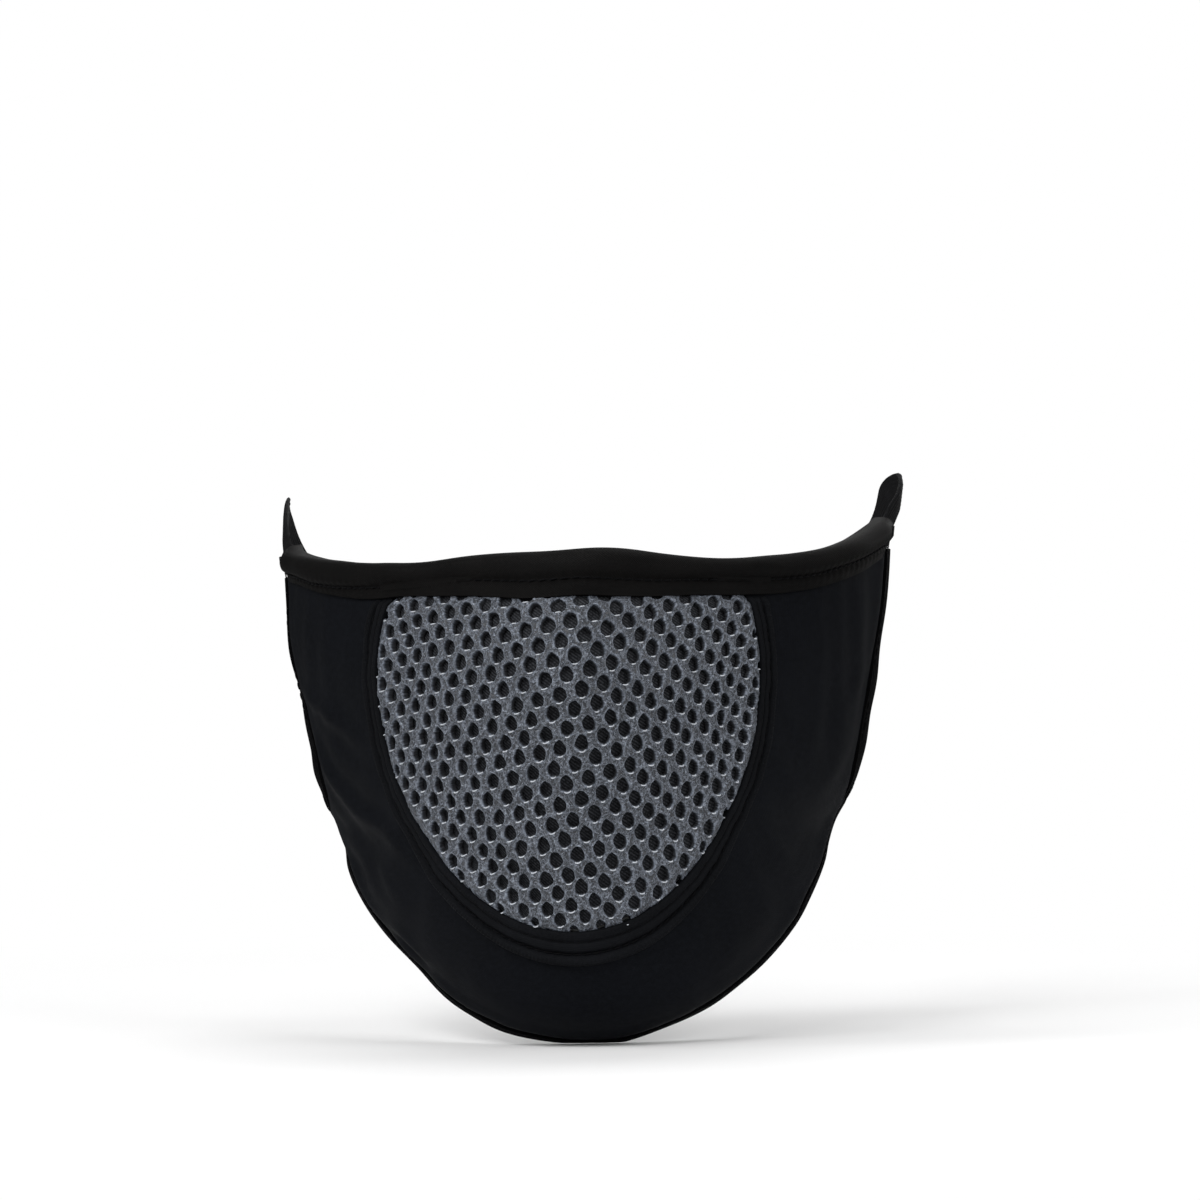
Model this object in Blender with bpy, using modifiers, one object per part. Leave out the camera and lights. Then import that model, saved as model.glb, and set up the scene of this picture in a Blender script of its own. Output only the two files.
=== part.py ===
"""Sports face mask: a three-layer shaped cup with an air-mesh front panel, a bound top edge with a
nose wire, hemmed lower and side edges, and two elastic ear loops that swing on the side edges.

Frame: metres, +Z up, the mask's front faces -Y, +X is the wearer's left. The origin is at the
bottom centre of the whole mask's box: on the face's midline, at the level the chin hem rests on.

Every piece is a flat cloth bent into shape. A place function takes the cloth's col, row and ply,
each 0..1 over its columns, rows and thickness, and returns points in millimetres. Most pieces lie
on the face surface, where "across" runs -1..1 from the wearer's right to left side edge, "up" 0..1
from the hem line to the top line, and "out" is the distance outwards from the inner surface.
"""

import math

import bmesh
import bpy
import numpy as np
from mathutils import Matrix, Vector

# ------------------------------------------------------------------ driving dimensions (mm)
MM = 0.001
HEM, TOP = 0, 1  # the two edge lines, as values of "up"
SIDES = ((1, "left"), (-1, "right"))  # the wearer's; the sign of x

SETBACK = 30.58  # the upper side corners lie this far behind the origin; tabled y is from them

# Midline of the face's inner surface: up, y, z.
CENTRE = (
    (0.0, -66.0, 4.5),
    (0.065, -74.0, 6.9),
    (0.134, -81.0, 12.0),
    (0.223, -86.0, 22.0),
    (0.328, -88.8, 35.0),
    (0.456, -91.0, 51.0),
    (0.594, -93.0, 68.0),
    (0.733, -93.5, 85.0),
    (0.865, -88.5, 100.4),
    (1.0, -80.5, 113.8),
)
# Side edge: up, half width, y, z.
EDGE = (
    (0.0, 58.6, -8.0, 52.3),
    (0.25, 62.4, -6.2, 69.0),
    (0.5, 66.3, -4.0, 86.3),
    (0.75, 69.9, -1.8, 104.0),
    (1.0, 72.2, 0.0, 121.8),
)
# Nose ridge: up, how far it stands forward.
NOSE = ((0.0, 0.0), (0.45, 0.0), (0.594, 2.0), (0.733, 5.5), (0.865, 6.5), (1.0, 5.0))
NOSE_HALF_WIDTH = 17.0
WING_ANGLE = math.radians(80.0)  # the cross-section's arc, front to side edge
ROUND_LOW, ROUND_HIGH = 1.40, 1.14  # fullness of the section at the jaw and at the cheek
JAW_ARC = 0.55  # share of the jaw's climb that follows the arc; the rest goes by the width
TOP_DIP = 14.6  # how far the top edge dips beside the nose before it climbs to the corners
DIP_START = 0.55  # "up" where the dip begins

# Layers: inner and outer face, as distances out.
LINING = (0.0, 0.5)
FILTER = (0.8, 1.2)
STRAP_END = (0.75, 1.9)
BACKING = (1.9, 2.3)
SHELL = (2.3, 3.7)
MESH = (2.7, 5.2)
MESH_PINCH = 3.7  # outer face of the air mesh where it is sewn down
TAPE = (4.0, 4.7)
EDGE_CUT = 0.8  # layers stop this far short of the edge line they are bound on

# Outline of the air-mesh panel seen from the front, wearer's left half from the bottom up: x, z.
MESH_OUTLINE = (
    (0.0, 27.9),
    (14.6, 31.3),
    (27.4, 41.0),
    (36.2, 53.6),
    (42.2, 69.0),
    (44.8, 88.0),
    (43.4, 101.0),
    (40.0, 110.0),
    (36.4, 118.5),
)
SEAM_GAP = 0.6  # between two cut edges along the panel seam
SEAM_SHORT = 0.4  # the seam curve stops this far under the cut top of the layers

THREAD_R = 0.25


# ------------------------------------------------------------------ small maths helpers
def blend(start, end, share):
    return start + (end - start) * share


def ease(share):
    share = np.clip(share, 0.0, 1.0)
    return share * share * (3.0 - 2.0 * share)


def unit(vectors):
    return vectors / np.linalg.norm(vectors, axis=-1, keepdims=True)


def matched(*values):
    """Values as float arrays of one shape."""
    return np.broadcast_arrays(*(np.atleast_1d(value).astype(float) for value in values))


def run_length(rows):
    """Length along a polyline at each of its points."""
    steps = np.linalg.norm(np.diff(rows, axis=0), axis=1)
    return np.concatenate([[0], np.cumsum(steps)])


def through(rows, at):
    """Smooth curve through rows of (parameter, values...), straight beyond both ends."""
    rows = np.array(rows, float)
    knots, values = rows[:, 0], rows[:, 1:]
    rates = np.empty_like(values)
    rates[1:-1] = (values[2:] - values[:-2]) / (knots[2:] - knots[:-2])[:, None]
    rates[0] = (values[1] - values[0]) / (knots[1] - knots[0])
    rates[-1] = (values[-1] - values[-2]) / (knots[-1] - knots[-2])
    at = np.atleast_1d(np.asarray(at, float))
    inside = np.clip(at, knots[0], knots[-1])
    i = np.clip(np.searchsorted(knots, inside, side="right") - 1, 0, len(knots) - 2)
    gap = (knots[i + 1] - knots[i])[:, None]
    share = (inside - knots[i])[:, None] / gap
    found = (
        (2 * share**3 - 3 * share**2 + 1) * values[i]
        + (share**3 - 2 * share**2 + share) * gap * rates[i]
        + (3 * share**2 - 2 * share**3) * values[i + 1]
        + (share**3 - share**2) * gap * rates[i + 1]
    )
    end_rate = np.where((at < inside)[:, None], rates[0], rates[-1])
    return found + (at - inside)[:, None] * end_rate


# ------------------------------------------------------------------ the face surface
def face(across, up):
    """Inner surface of the mask."""
    across, up = matched(across, up)
    angle = across * WING_ANGLE
    sine = np.sin(angle) / math.sin(WING_ANGLE)
    edge_x, edge_y, edge_z = through(EDGE, up).T
    centre_y, centre_z = through(CENTRE, up).T
    cheek = ease(up)
    power = blend(ROUND_LOW, ROUND_HIGH, cheek)
    last = math.cos(WING_ANGLE) ** power
    front = (np.abs(np.cos(angle)) ** power - last) / (1.0 - last)
    arc = (1.0 - np.cos(angle)) / (1.0 - math.cos(WING_ANGLE))
    jaw = blend(sine**2, arc, JAW_ARC)
    x = edge_x * sine
    y = blend(edge_y, centre_y, front)
    y = y - through(NOSE, up)[:, 0] * np.exp(-((x / NOSE_HALF_WIDTH) ** 2))
    z = blend(centre_z, edge_z, blend(jaw, sine**4, cheek))
    z = z + ease((up - DIP_START) / (1.0 - DIP_START)) * TOP_DIP * (sine**4 - sine**2)
    return np.stack([x, y + SETBACK, z], axis=1)


def slopes(across, up):
    """Derivatives of the face across and up, and its outward normal."""
    step = 1e-4
    by_across = (face(across + step, up) - face(across - step, up)) / (2 * step)
    by_up = (face(across, up + step) - face(across, up - step)) / (2 * step)
    return by_across, by_up, unit(np.cross(by_across, by_up))


def laid(across, up, out):
    """Points at distance out from the face."""
    across, up, out = matched(across, up, out)
    return face(across, up) + slopes(across, up)[2] * out[:, None]


def above(line, across, height):
    """Up of a line height millimetres over the hem or top line."""
    by_across, by_up, _ = slopes(across, np.full_like(across, line))
    return line + height / np.linalg.norm(np.cross(by_up, unit(by_across)), axis=1)


def past_edge(up, behind):
    """Across of a line behind millimetres past the side edge line of the wearer's left."""
    by_across, by_up, _ = slopes(np.ones_like(up), up)
    return 1.0 + behind / np.linalg.norm(np.cross(by_across, unit(by_up)), axis=1)


def between(across, low, high, share):
    """Up at a share of the way from low over the hem line to high over the top line."""
    return blend(above(HEM, across, low), above(TOP, across, high), share)


def between_cuts(across, share):
    return between(across, EDGE_CUT, -EDGE_CUT, share)


def at_corner(line, behind, height):
    """(across, up) near a corner, from the side edge and the hem or top line."""
    behind, height = matched(behind, height)
    up = above(line, np.ones_like(height), height)
    return past_edge(up, behind), up


def located(x, z, out):
    """(across, up) of the point that, at distance out, is seen from the front at x, z."""
    across, up = x / 75.0, z / 118.0  # a first guess, from the mask's rough half width and height
    step, longest = 1e-4, 0.08
    for _ in range(40):
        here = laid(across, up, out)
        by_across = (laid(across + step, up, out) - here) / step
        by_up = (laid(across, up + step, out) - here) / step
        miss_x, miss_z = x - here[:, 0], z - here[:, 2]
        det = by_across[:, 0] * by_up[:, 2] - by_up[:, 0] * by_across[:, 2]
        move_across = (miss_x * by_up[:, 2] - miss_z * by_up[:, 0]) / det
        move_up = (by_across[:, 0] * miss_z - by_across[:, 2] * miss_x) / det
        across = across + np.clip(move_across, -longest, longest)
        up = up + np.clip(move_up, -longest, longest)
    return across, up


def widened(across, up, width):
    """The curve across, up moved width millimetres away from the mesh panel, along the face."""
    by_across, by_up, normal = slopes(across, up)
    tangent = unit(np.gradient(face(across, up), axis=0))
    move = np.cross(tangent, normal) * np.asarray(width, float).reshape(-1, 1)
    across_sq, up_sq = (by_across**2).sum(1), (by_up**2).sum(1)
    mixed = (by_across * by_up).sum(1)
    move_across, move_up = (move * by_across).sum(1), (move * by_up).sum(1)
    det = across_sq * up_sq - mixed * mixed
    return (
        across + (move_across * up_sq - move_up * mixed) / det,
        up + (move_up * across_sq - move_across * mixed) / det,
    )


# ------------------------------------------------------------------ the panel seam
def panel_seam():
    """Dense curve of the seam, from the wearer's top right, round the chin, to the top left."""
    half = np.array(MESH_OUTLINE, float)
    rows = np.concatenate([(half * (-1, 1))[:0:-1], half])
    length = run_length(rows)
    share = 2.0 * length / length[-1] - 1.0
    outline = through(np.column_stack([share, rows]), np.linspace(-1.0, 1.0, 401))
    across, up = located(outline[:, 0], outline[:, 1], MESH_PINCH)
    inside = up <= above(TOP, across, -EDGE_CUT - SEAM_SHORT)
    return across[inside], up[inside]


SEAM = panel_seam()


def seam(along, width):
    """(across, up) on the seam at along = -1..1, moved width millimetres away from the panel."""
    across, up = widened(*SEAM, width)
    knots = np.linspace(-1.0, 1.0, len(across))
    return np.interp(along, knots, across), np.interp(along, knots, up)


def beside_seam(along, width):
    """Like seam, with a width for each point."""
    return widened(*seam(along, 0.0), width)


# ------------------------------------------------------------------ building pieces
for old in list(bpy.data.objects):
    bpy.data.objects.remove(old, do_unlink=True)

MASK = bpy.data.collections.new("face_mask")
bpy.context.scene.collection.children.link(MASK)


def cut_cloth(columns, rows):
    """A flat unit square of cloth, one unit thick, cut into cells: its mesh and vertices."""
    sheet = bpy.data.meshes.new("cloth")
    grid = bmesh.new()
    bmesh.ops.create_grid(grid, x_segments=columns, y_segments=rows, size=0.5)
    grid.to_mesh(sheet)
    grid.free()
    flat = bpy.data.objects.new("cloth", sheet)
    bpy.context.scene.collection.objects.link(flat)
    solidify = flat.modifiers.new("thickness", "SOLIDIFY")
    solidify.thickness = 1.0
    solidify.offset = 0.0
    depsgraph = bpy.context.evaluated_depsgraph_get()
    mesh = bpy.data.meshes.new_from_object(flat.evaluated_get(depsgraph))
    bpy.data.objects.remove(flat)
    points = np.zeros(len(mesh.vertices) * 3)
    mesh.vertices.foreach_get("co", points)
    return mesh, points.reshape(-1, 3) + 0.5


def formed(name, columns, rows, place, material, pivot=None):
    """Cloth bent into shape by place(col, row, ply), its origin on pivot (metres) if given."""
    mesh, shares = cut_cloth(columns, rows)
    mesh.vertices.foreach_set("co", place(*shares.T).ravel())
    mesh.update()
    mesh.transform(Matrix.Scale(MM, 4))
    obj = bpy.data.objects.new(name, mesh)
    if pivot is not None:
        mesh.transform(Matrix.Translation(-pivot))
        obj.location = pivot
    mesh.materials.append(material)
    mesh.shade_smooth()
    mesh.set_sharp_from_angle(angle=math.radians(40.0))
    MASK.objects.link(obj)


def mirrored(points, side):
    """Side +1 keeps the wearer's left, -1 turns it into the wearer's right."""
    return points * np.array([side, 1.0, 1.0])


def sided(name, columns, rows, place, material, side, pivot=None):
    """A formed piece of the wearer's left, or its mirror image with its faces turned back out."""

    def place_sided(col, row, ply):
        return mirrored(place(col if side > 0 else 1.0 - col, row, ply), side)

    formed(name, columns, rows, place_sided, material, pivot)


def thread(name, points):
    """A round thread along points."""
    curve = bpy.data.curves.new(name, "CURVE")
    curve.dimensions = "3D"
    curve.bevel_depth = THREAD_R * MM
    curve.bevel_resolution = 0
    curve.use_fill_caps = True
    line = curve.splines.new("POLY")
    line.points.add(len(points) - 1)
    for target, point in zip(line.points, points):
        target.co = (*(float(value) * MM for value in point), 1.0)
    curve.materials.append(sewing)
    MASK.objects.link(bpy.data.objects.new(name, curve))


# ------------------------------------------------------------------ materials
def finish(name, colour, roughness, metallic=0.0, sheen=0.0):
    material = bpy.data.materials.new(name)
    material.use_nodes = True
    shader = material.node_tree.nodes["Principled BSDF"]
    shader.inputs["Base Color"].default_value = (*colour, 1.0)
    shader.inputs["Roughness"].default_value = roughness
    shader.inputs["Metallic"].default_value = metallic
    shader.inputs["Sheen Weight"].default_value = sheen
    material.diffuse_color = (*colour, 1.0)
    return material


knit = finish("black_knit", colour=(0.013, 0.014, 0.018), roughness=0.72, sheen=0.3)
air_mesh = finish("grey_air_mesh", colour=(0.17, 0.19, 0.22), roughness=0.62, sheen=0.4)
backing = finish("black_backing", colour=(0.008, 0.008, 0.009), roughness=0.9)
felt = finish("white_filter", colour=(0.72, 0.72, 0.70), roughness=0.9)
lining = finish("dark_lining", colour=(0.02, 0.021, 0.024), roughness=0.85, sheen=0.3)
twill = finish("black_twill", colour=(0.012, 0.011, 0.011), roughness=0.68, sheen=0.3)
sewing = finish("black_thread", colour=(0.016, 0.016, 0.018), roughness=0.5)
elastic = finish("black_elastic", colour=(0.014, 0.014, 0.015), roughness=0.66, sheen=0.2)
aluminium = finish("aluminium_wire", colour=(0.75, 0.76, 0.77), roughness=0.35, metallic=1.0)


# ------------------------------------------------------------------ lining and filter
COLUMNS, ROWS = 24, 14  # cells of the lining; the filter shares them, so the two bend alike
TRIM_COLUMNS, TRIM_ROWS = 2, 1  # cells the filter stops short of the lining, on each side


def layer(trim_columns, trim_rows, span):
    """A layer from edge to edge, less the trimmed cells all round."""

    def place(col, row, ply):
        col = (trim_columns + col * (COLUMNS - 2 * trim_columns)) / COLUMNS
        row = (trim_rows + row * (ROWS - 2 * trim_rows)) / ROWS
        across = 2.0 * col - 1.0
        up = between_cuts(across, row)
        return laid(across * past_edge(up, -EDGE_CUT), up, blend(*span, ply))

    return place


formed("inner_lining", COLUMNS, ROWS, layer(0, 0, LINING), lining)
formed(
    "filter_layer",
    COLUMNS - 2 * TRIM_COLUMNS,
    ROWS - 2 * TRIM_ROWS,
    layer(TRIM_COLUMNS, TRIM_ROWS, FILTER),
    felt,
)


# ------------------------------------------------------------------ mesh panel and its backing
PANEL_CELLS = 14  # each way
PANEL_CORNER = 0.36  # place along the seam where the panel's foot turns into its sides
PANEL_SIZE = (84.0, 80.0)  # rough width and height, which set the width of the pinched rim
BOUND_DEPTH = 9.0  # how far down from the top the mesh is pinched flat
PUFF_WIDTH = 8.0  # over which it rises from pinched to full


def panel(span_of):
    """A sheet inside the panel seam: a patch between the seam's two sides, its foot and the top."""

    def point(along):
        return np.stack(seam(along, -SEAM_GAP / 2), axis=1)

    def place(col, row, ply):
        seam_ends = point(np.array([-1.0, 1.0]))
        end_across = seam_ends[:, 0]
        top_ends = np.column_stack([end_across, above(TOP, end_across, -EDGE_CUT)])
        foot_ends = point(np.array([-PANEL_CORNER, PANEL_CORNER]))
        top_across = blend(*end_across, col)
        top = np.stack([top_across, above(TOP, top_across, -EDGE_CUT)], axis=1)
        foot = point(blend(-PANEL_CORNER, PANEL_CORNER, col))
        right = point(blend(-PANEL_CORNER, -1.0, row))
        left = point(blend(PANEL_CORNER, 1.0, row))
        # The sides are drawn up from the seam's ends to the cut top.
        lift = top_ends[:, 1] - seam_ends[:, 1]
        right[:, 1] += lift[0] * row**8
        left[:, 1] += lift[1] * row**8
        col_share, row_share = col[:, None], row[:, None]
        corners = blend(blend(*foot_ends, col_share), blend(*top_ends, col_share), row_share)
        patch = blend(foot, top, row_share) + blend(right, left, col_share) - corners
        return laid(patch[:, 0], patch[:, 1], blend(*span_of(col, row), ply))

    return place


def mesh_span(col, row):
    """The air mesh is full inside and pinched flat where it is sewn and bound."""
    width, height = PANEL_SIZE
    to_side = np.minimum(col, 1 - col) * width
    to_end = np.minimum(row * height, (1 - row) * height - BOUND_DEPTH)
    rim = np.minimum(to_side, to_end)
    return MESH[0], blend(MESH_PINCH, MESH[1], ease(rim / PUFF_WIDTH))


def backing_span(col, row):
    return BACKING


formed("mesh_panel", PANEL_CELLS, PANEL_CELLS, panel(mesh_span), air_mesh)
formed("mesh_backing", PANEL_CELLS, PANEL_CELLS, panel(backing_span), backing)


# ------------------------------------------------------------------ outer shell
SHELL_TURN = 0.44  # place along the seam matched to the lower side corners
SHELL_SPREAD = 0.85  # power that spreads the cells along the hem
SHELL_TOP_START = 0.9  # place along the seam from which its edge is drawn up to the cut top


def shell_place(col, row, ply):
    """The one-piece U-shaped body: col runs down the right wing, round the chin and up the left."""
    along = 2.0 * col - 1.0
    far = np.abs(along)
    inner_across, inner_up = seam(along, SEAM_GAP / 2)
    top = above(TOP, inner_across, -EDGE_CUT)
    to_top = np.clip((far - SHELL_TOP_START) / (1 - SHELL_TOP_START), 0, 1)
    inner_up = blend(inner_up, top, to_top**4)
    hem_across = np.sign(along) * np.clip(far / SHELL_TURN, 0, 1) ** SHELL_SPREAD
    up_side = np.clip((far - SHELL_TURN) / (1 - SHELL_TURN), 0, 1)
    outer_up = between_cuts(hem_across, up_side)
    outer_across = hem_across * past_edge(outer_up, -EDGE_CUT)
    across = blend(outer_across, inner_across, row)
    up = blend(outer_up, inner_up, row)
    return laid(across, up, blend(*SHELL, ply))


formed("outer_shell", 44, 7, shell_place, knit)


# ------------------------------------------------------------------ covering tape and its stitching
SEAM_SIDE_WIDTH, SEAM_CHIN_WIDTH = 6.0, 8.0  # the tape's outer edge from the seam, cheeks and chin
CHIN_SPREAD = 0.34  # how far along the seam the chin's width carries
TAPE_START = 0.5  # the tape's inner edge from the seam
TAPE_TOP = -12.9  # the tape stops under this height, to stay clear of the top binding
TAPE_CELLS = 48
THREAD_GAP = 0.3  # between thread and cloth


def tape_width(along):
    return blend(SEAM_SIDE_WIDTH, SEAM_CHIN_WIDTH, np.exp(-((along / CHIN_SPREAD) ** 2)))


def on_tape(along, share):
    """(across, up) at a share of the tape's width from its inner edge."""
    return beside_seam(along, blend(TAPE_START, tape_width(along), share))


def seam_reach():
    """How far up the seam the tape can run and still stay clear of the top binding."""
    along = np.linspace(0.5, 1.0, 400)
    across, up = beside_seam(along, tape_width(along))
    return along[up < above(TOP, across, TAPE_TOP)][-1]


REACH = seam_reach()


def tape_place(col, row, ply):
    return laid(*on_tape(REACH * (2.0 * col - 1.0), 1.0 - row), blend(*TAPE, ply))


formed("panel_seam_tape", TAPE_CELLS, 2, tape_place, twill)
for name, share in (("seam_thread_inner", 0.2), ("seam_thread_outer", 0.8)):
    along = np.linspace(-REACH, REACH, TAPE_CELLS + 1)
    thread(name, laid(*on_tape(along, share), TAPE[1] + THREAD_GAP + THREAD_R))


# ------------------------------------------------------------------ top and hem bindings
BINDING_THICK = 0.8
BINDING_OVERHANG = 1.0  # the bindings' ends past the side edge line

# Sections of the bindings round the cut edges: out, height over the edge line.
TOP_SECTION = (
    (-1.55, -8.4),
    (-1.55, -1.2),
    (0.0, 0.2),
    (2.0, 0.7),
    (4.3, 0.3),
    (5.6, -1.6),
    (5.6, -4.3),
    (4.7, -5.8),
    (4.5, -8.8),
)
HEM_SECTION = (
    (-1.0, 3.6),
    (-1.0, 0.7),
    (0.2, -0.6),
    (2.6, -0.9),
    (4.8, -0.2),
    (4.8, 1.1),
    (4.5, 4.0),
)
# Threads: name, edge line, height over it, out of the binding's middle there, gap to the binding.
BINDING_THREADS = (
    ("top_binding_thread", TOP, -6.4, 4.6, THREAD_GAP),
    ("hem_thread", HEM, 3.2, 4.55, 0.25),
)
BINDING_THREAD_END = 0.935  # "across" of the threads' ends
THREAD_LOWEST = THREAD_R + 0.02  # the thread's middle stays this far over the ground


def folded(section, along, ply):
    """Points of a thick section. Even steps of along land on its corners, to keep its shape."""
    rows = np.array(section, float)
    length = run_length(rows)
    at = np.interp(along * (len(rows) - 1), np.arange(len(rows)), length)
    tangents = np.gradient(rows, length, axis=0)
    middle = np.stack([np.interp(at, length, rows[:, i]) for i in (0, 1)])
    tangent = np.stack([np.interp(at, length, tangents[:, i]) for i in (0, 1)], axis=1)
    tangent = unit(tangent)
    normal = np.stack([tangent[:, 1], -tangent[:, 0]])
    return middle + normal * (ply - 0.5) * BINDING_THICK


def binding(line, section):
    def place(col, row, ply):
        across = 2.0 * col - 1.0
        if line == TOP:  # its section runs the other way round the edge
            row, ply = 1.0 - row, 1.0 - ply
        out, height = folded(section, row, ply)
        up = above(line, across, height)
        points = laid(across * past_edge(up, BINDING_OVERHANG), up, out)
        points[:, 2] = np.maximum(points[:, 2], 0.0)  # pressed flat where it stands on a table
        return points

    return place


def over_binding(middle, gap):
    """Out of a thread that lies on a binding."""
    return middle + BINDING_THICK / 2 + gap + THREAD_R


formed("top_binding", 40, len(TOP_SECTION) - 1, binding(TOP, TOP_SECTION), twill)
formed("hem_binding", 40, len(HEM_SECTION) - 1, binding(HEM, HEM_SECTION), twill)

for name, line, height, middle, gap in BINDING_THREADS:
    across = np.linspace(-BINDING_THREAD_END, BINDING_THREAD_END, 41)
    points = laid(across, above(line, across, height), over_binding(middle, gap))
    points[:, 2] = np.maximum(points[:, 2], THREAD_LOWEST)
    thread(name, points)


# ------------------------------------------------------------------ nose wire
WIRE_LENGTH, WIRE_WIDTH, WIRE_THICK = 90.0, 3.2, 0.6
WIRE_HEIGHT = -3.1  # its middle, over the top edge line
WIRE_OUT = 4.3
WIRE_GAUGE = 0.3  # "across" where the face's width per unit of across is taken


def wire_place(col, row, ply):
    by_across = slopes(np.array([WIRE_GAUGE]), np.array([1.0]))[0]
    reach = WIRE_LENGTH / 2.0 / np.linalg.norm(by_across, axis=1)
    across = (2.0 * col - 1.0) * reach
    up = above(TOP, across, WIRE_HEIGHT + (row - 0.5) * WIRE_WIDTH)
    return laid(across, up, WIRE_OUT + (ply - 0.5) * WIRE_THICK)


formed("nose_wire", 20, 1, wire_place, aluminium)


# ------------------------------------------------------------------ side hems
# Section round the side edge: out, distance behind the edge line.
SIDE_SECTION = (
    (-0.85, -5.4),
    (-0.85, -0.7),
    (0.2, 0.3),
    (1.9, 0.7),
    (3.6, 0.3),
    (4.5, -0.7),
    (4.5, -5.6),
)
SIDE_LOW, SIDE_HIGH = 13.6, -15.4  # the side hems' ends, over the hem line and the top line
SIDE_THREAD_BEHIND = -4.2
SIDE_THREAD_SHORT = 0.6  # the thread stops this far short of the side hem's ends


def side_hem_place(col, row, ply):
    out, behind = folded(SIDE_SECTION, 1.0 - col, 1.0 - ply)
    up = between(np.ones_like(row), SIDE_LOW, SIDE_HIGH, row)
    return laid(past_edge(up, behind), up, out)


def side_thread_points():
    low, high = SIDE_LOW + SIDE_THREAD_SHORT, SIDE_HIGH - SIDE_THREAD_SHORT
    up = between(np.ones(15), low, high, np.linspace(0, 1, 15))
    out = over_binding(SIDE_SECTION[-1][0], THREAD_GAP)
    return laid(past_edge(up, SIDE_THREAD_BEHIND), up, out)


for side, word in SIDES:
    sided(f"side_hem_{word}", len(SIDE_SECTION) - 1, 12, side_hem_place, knit, side)
    thread(f"side_hem_thread_{word}", mirrored(side_thread_points(), side))


# ------------------------------------------------------------------ ear loops
STRAP_WIDTH, STRAP_THICK = 10.0, 1.2
STRAP_MIDDLE = sum(STRAP_END) / 2.0
HINGE_BEHIND = 2.6  # swing axis behind the side edge line
HINGE_CLEAR = 0.9  # strap end to axis, on each side
ANCHOR = {TOP: -6.9, HEM: 6.9}  # middle of the strap on the axis, over the edge line
RAKE = {TOP: 0.72, HEM: 0.22}  # climb of the sewn strap end towards the loop
SEWN_LENGTH = 9.5
SEWN_CLEAR = 1.4  # least distance of the sewn end from the top or hem line
# Strap line on the wearer's left between its two sewn ends: x, y, z, twist in degrees.
LOOP_PATH = (
    (75.6, 8.6, 120.6, 4.0),
    (76.6, 14.6, 127.0, 6.0),
    (76.7, 22.6, 130.2, 6.0),
    (76.2, 30.0, 127.8, 8.0),
    (74.8, 35.4, 121.2, 16.0),
    (71.6, 38.0, 113.6, 42.0),
    (68.2, 40.5, 107.0, 75.0),
    (66.2, 41.9, 101.0, 90.0),
    (65.4, 42.0, 95.0, 90.0),
    (64.6, 42.0, 89.0, 90.0),
    (63.8, 42.0, 83.0, 90.0),
    (62.6, 40.4, 76.6, 84.0),
    (61.6, 34.0, 70.6, 60.0),
    (61.4, 24.4, 66.4, 32.0),
    (61.9, 12.4, 63.4, 10.0),
)
CELLS_PER_STATION = 4
END_STATIONS = 1.5  # stations over which the strap turns in line with the hinge

# Bars of stitches.
BAR_BEHIND, BAR_WIDTH = -4.2, 1.6
BAR_SPAN = {TOP: (-8.6, -2.0), HEM: (4.9, 12.5)}  # heights over the edge line
BAR_THICK = 0.5
BAR_GAP = {TOP: 0.5, HEM: 0.3}  # to the cloth under it


def strap_height(line, behind):
    """Height of the strap's middle over the edge line, near the hinge."""
    return ANCHOR[line] + (behind - HINGE_BEHIND) * RAKE[line]


def strap_point(line, behind):
    corner = at_corner(line, behind, strap_height(line, behind))
    return laid(*corner, STRAP_MIDDLE)[0]


AXIS_HIGH, AXIS_LOW = (strap_point(line, HINGE_BEHIND) for line in (TOP, HEM))
AXIS = unit(AXIS_HIGH - AXIS_LOW)


def strap_end(line):
    """The strap's sewn end, between the layers: raked so that it runs on into the loop."""
    half = STRAP_WIDTH / 2.0 * math.hypot(1.0, RAKE[line])

    def place(col, row, ply):
        behind = HINGE_BEHIND - HINGE_CLEAR + (col - 1.0) * SEWN_LENGTH
        height = strap_height(line, behind) + (2.0 * row - 1.0) * half
        if line == TOP:
            height = np.minimum(height, -SEWN_CLEAR)
        else:
            height = np.maximum(height, SEWN_CLEAR)
        return laid(*at_corner(line, behind, height), blend(*STRAP_END, ply))

    return place


def loop_stations():
    """Share of the loop, middle line, width direction, tangent and half width, end to end."""
    first, last = (strap_point(line, HINGE_BEHIND + HINGE_CLEAR) for line in (TOP, HEM))
    path = [(x, y + SETBACK, z, twist) for x, y, z, twist in LOOP_PATH]
    rows = np.array([(*first, 0.0), *path, (*last, 0.0)], float)
    spans = len(rows) - 1
    station = np.linspace(0.0, spans, CELLS_PER_STATION * spans + 1)
    found = through(np.column_stack([np.arange(len(rows)), rows]), station)
    middle, twist = found[:, :3], np.radians(found[:, 3:])
    tangent = unit(np.gradient(middle, station, axis=0))
    x_axis = np.broadcast_to(np.array([1.0, 0.0, 0.0]), middle.shape)
    x_flat = unit(x_axis - (x_axis * tangent).sum(1)[:, None] * tangent)
    outward = unit(np.cross(x_axis, tangent))
    width = np.cos(twist) * outward - np.sin(twist) * x_flat
    half = np.full(len(station), STRAP_WIDTH / 2.0)
    for end, sign, rake in ((0, 1.0, RAKE[TOP]), (-1, -1.0, RAKE[HEM])):
        near = 1.0 - ease(np.abs(station - station[end]) / END_STATIONS)
        width = unit(blend(width, AXIS * sign, near[:, None]))
        half = half * blend(1.0, math.hypot(1.0, rake), near)
    return station / spans, middle, width, tangent, half


LOOP = loop_stations()


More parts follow.
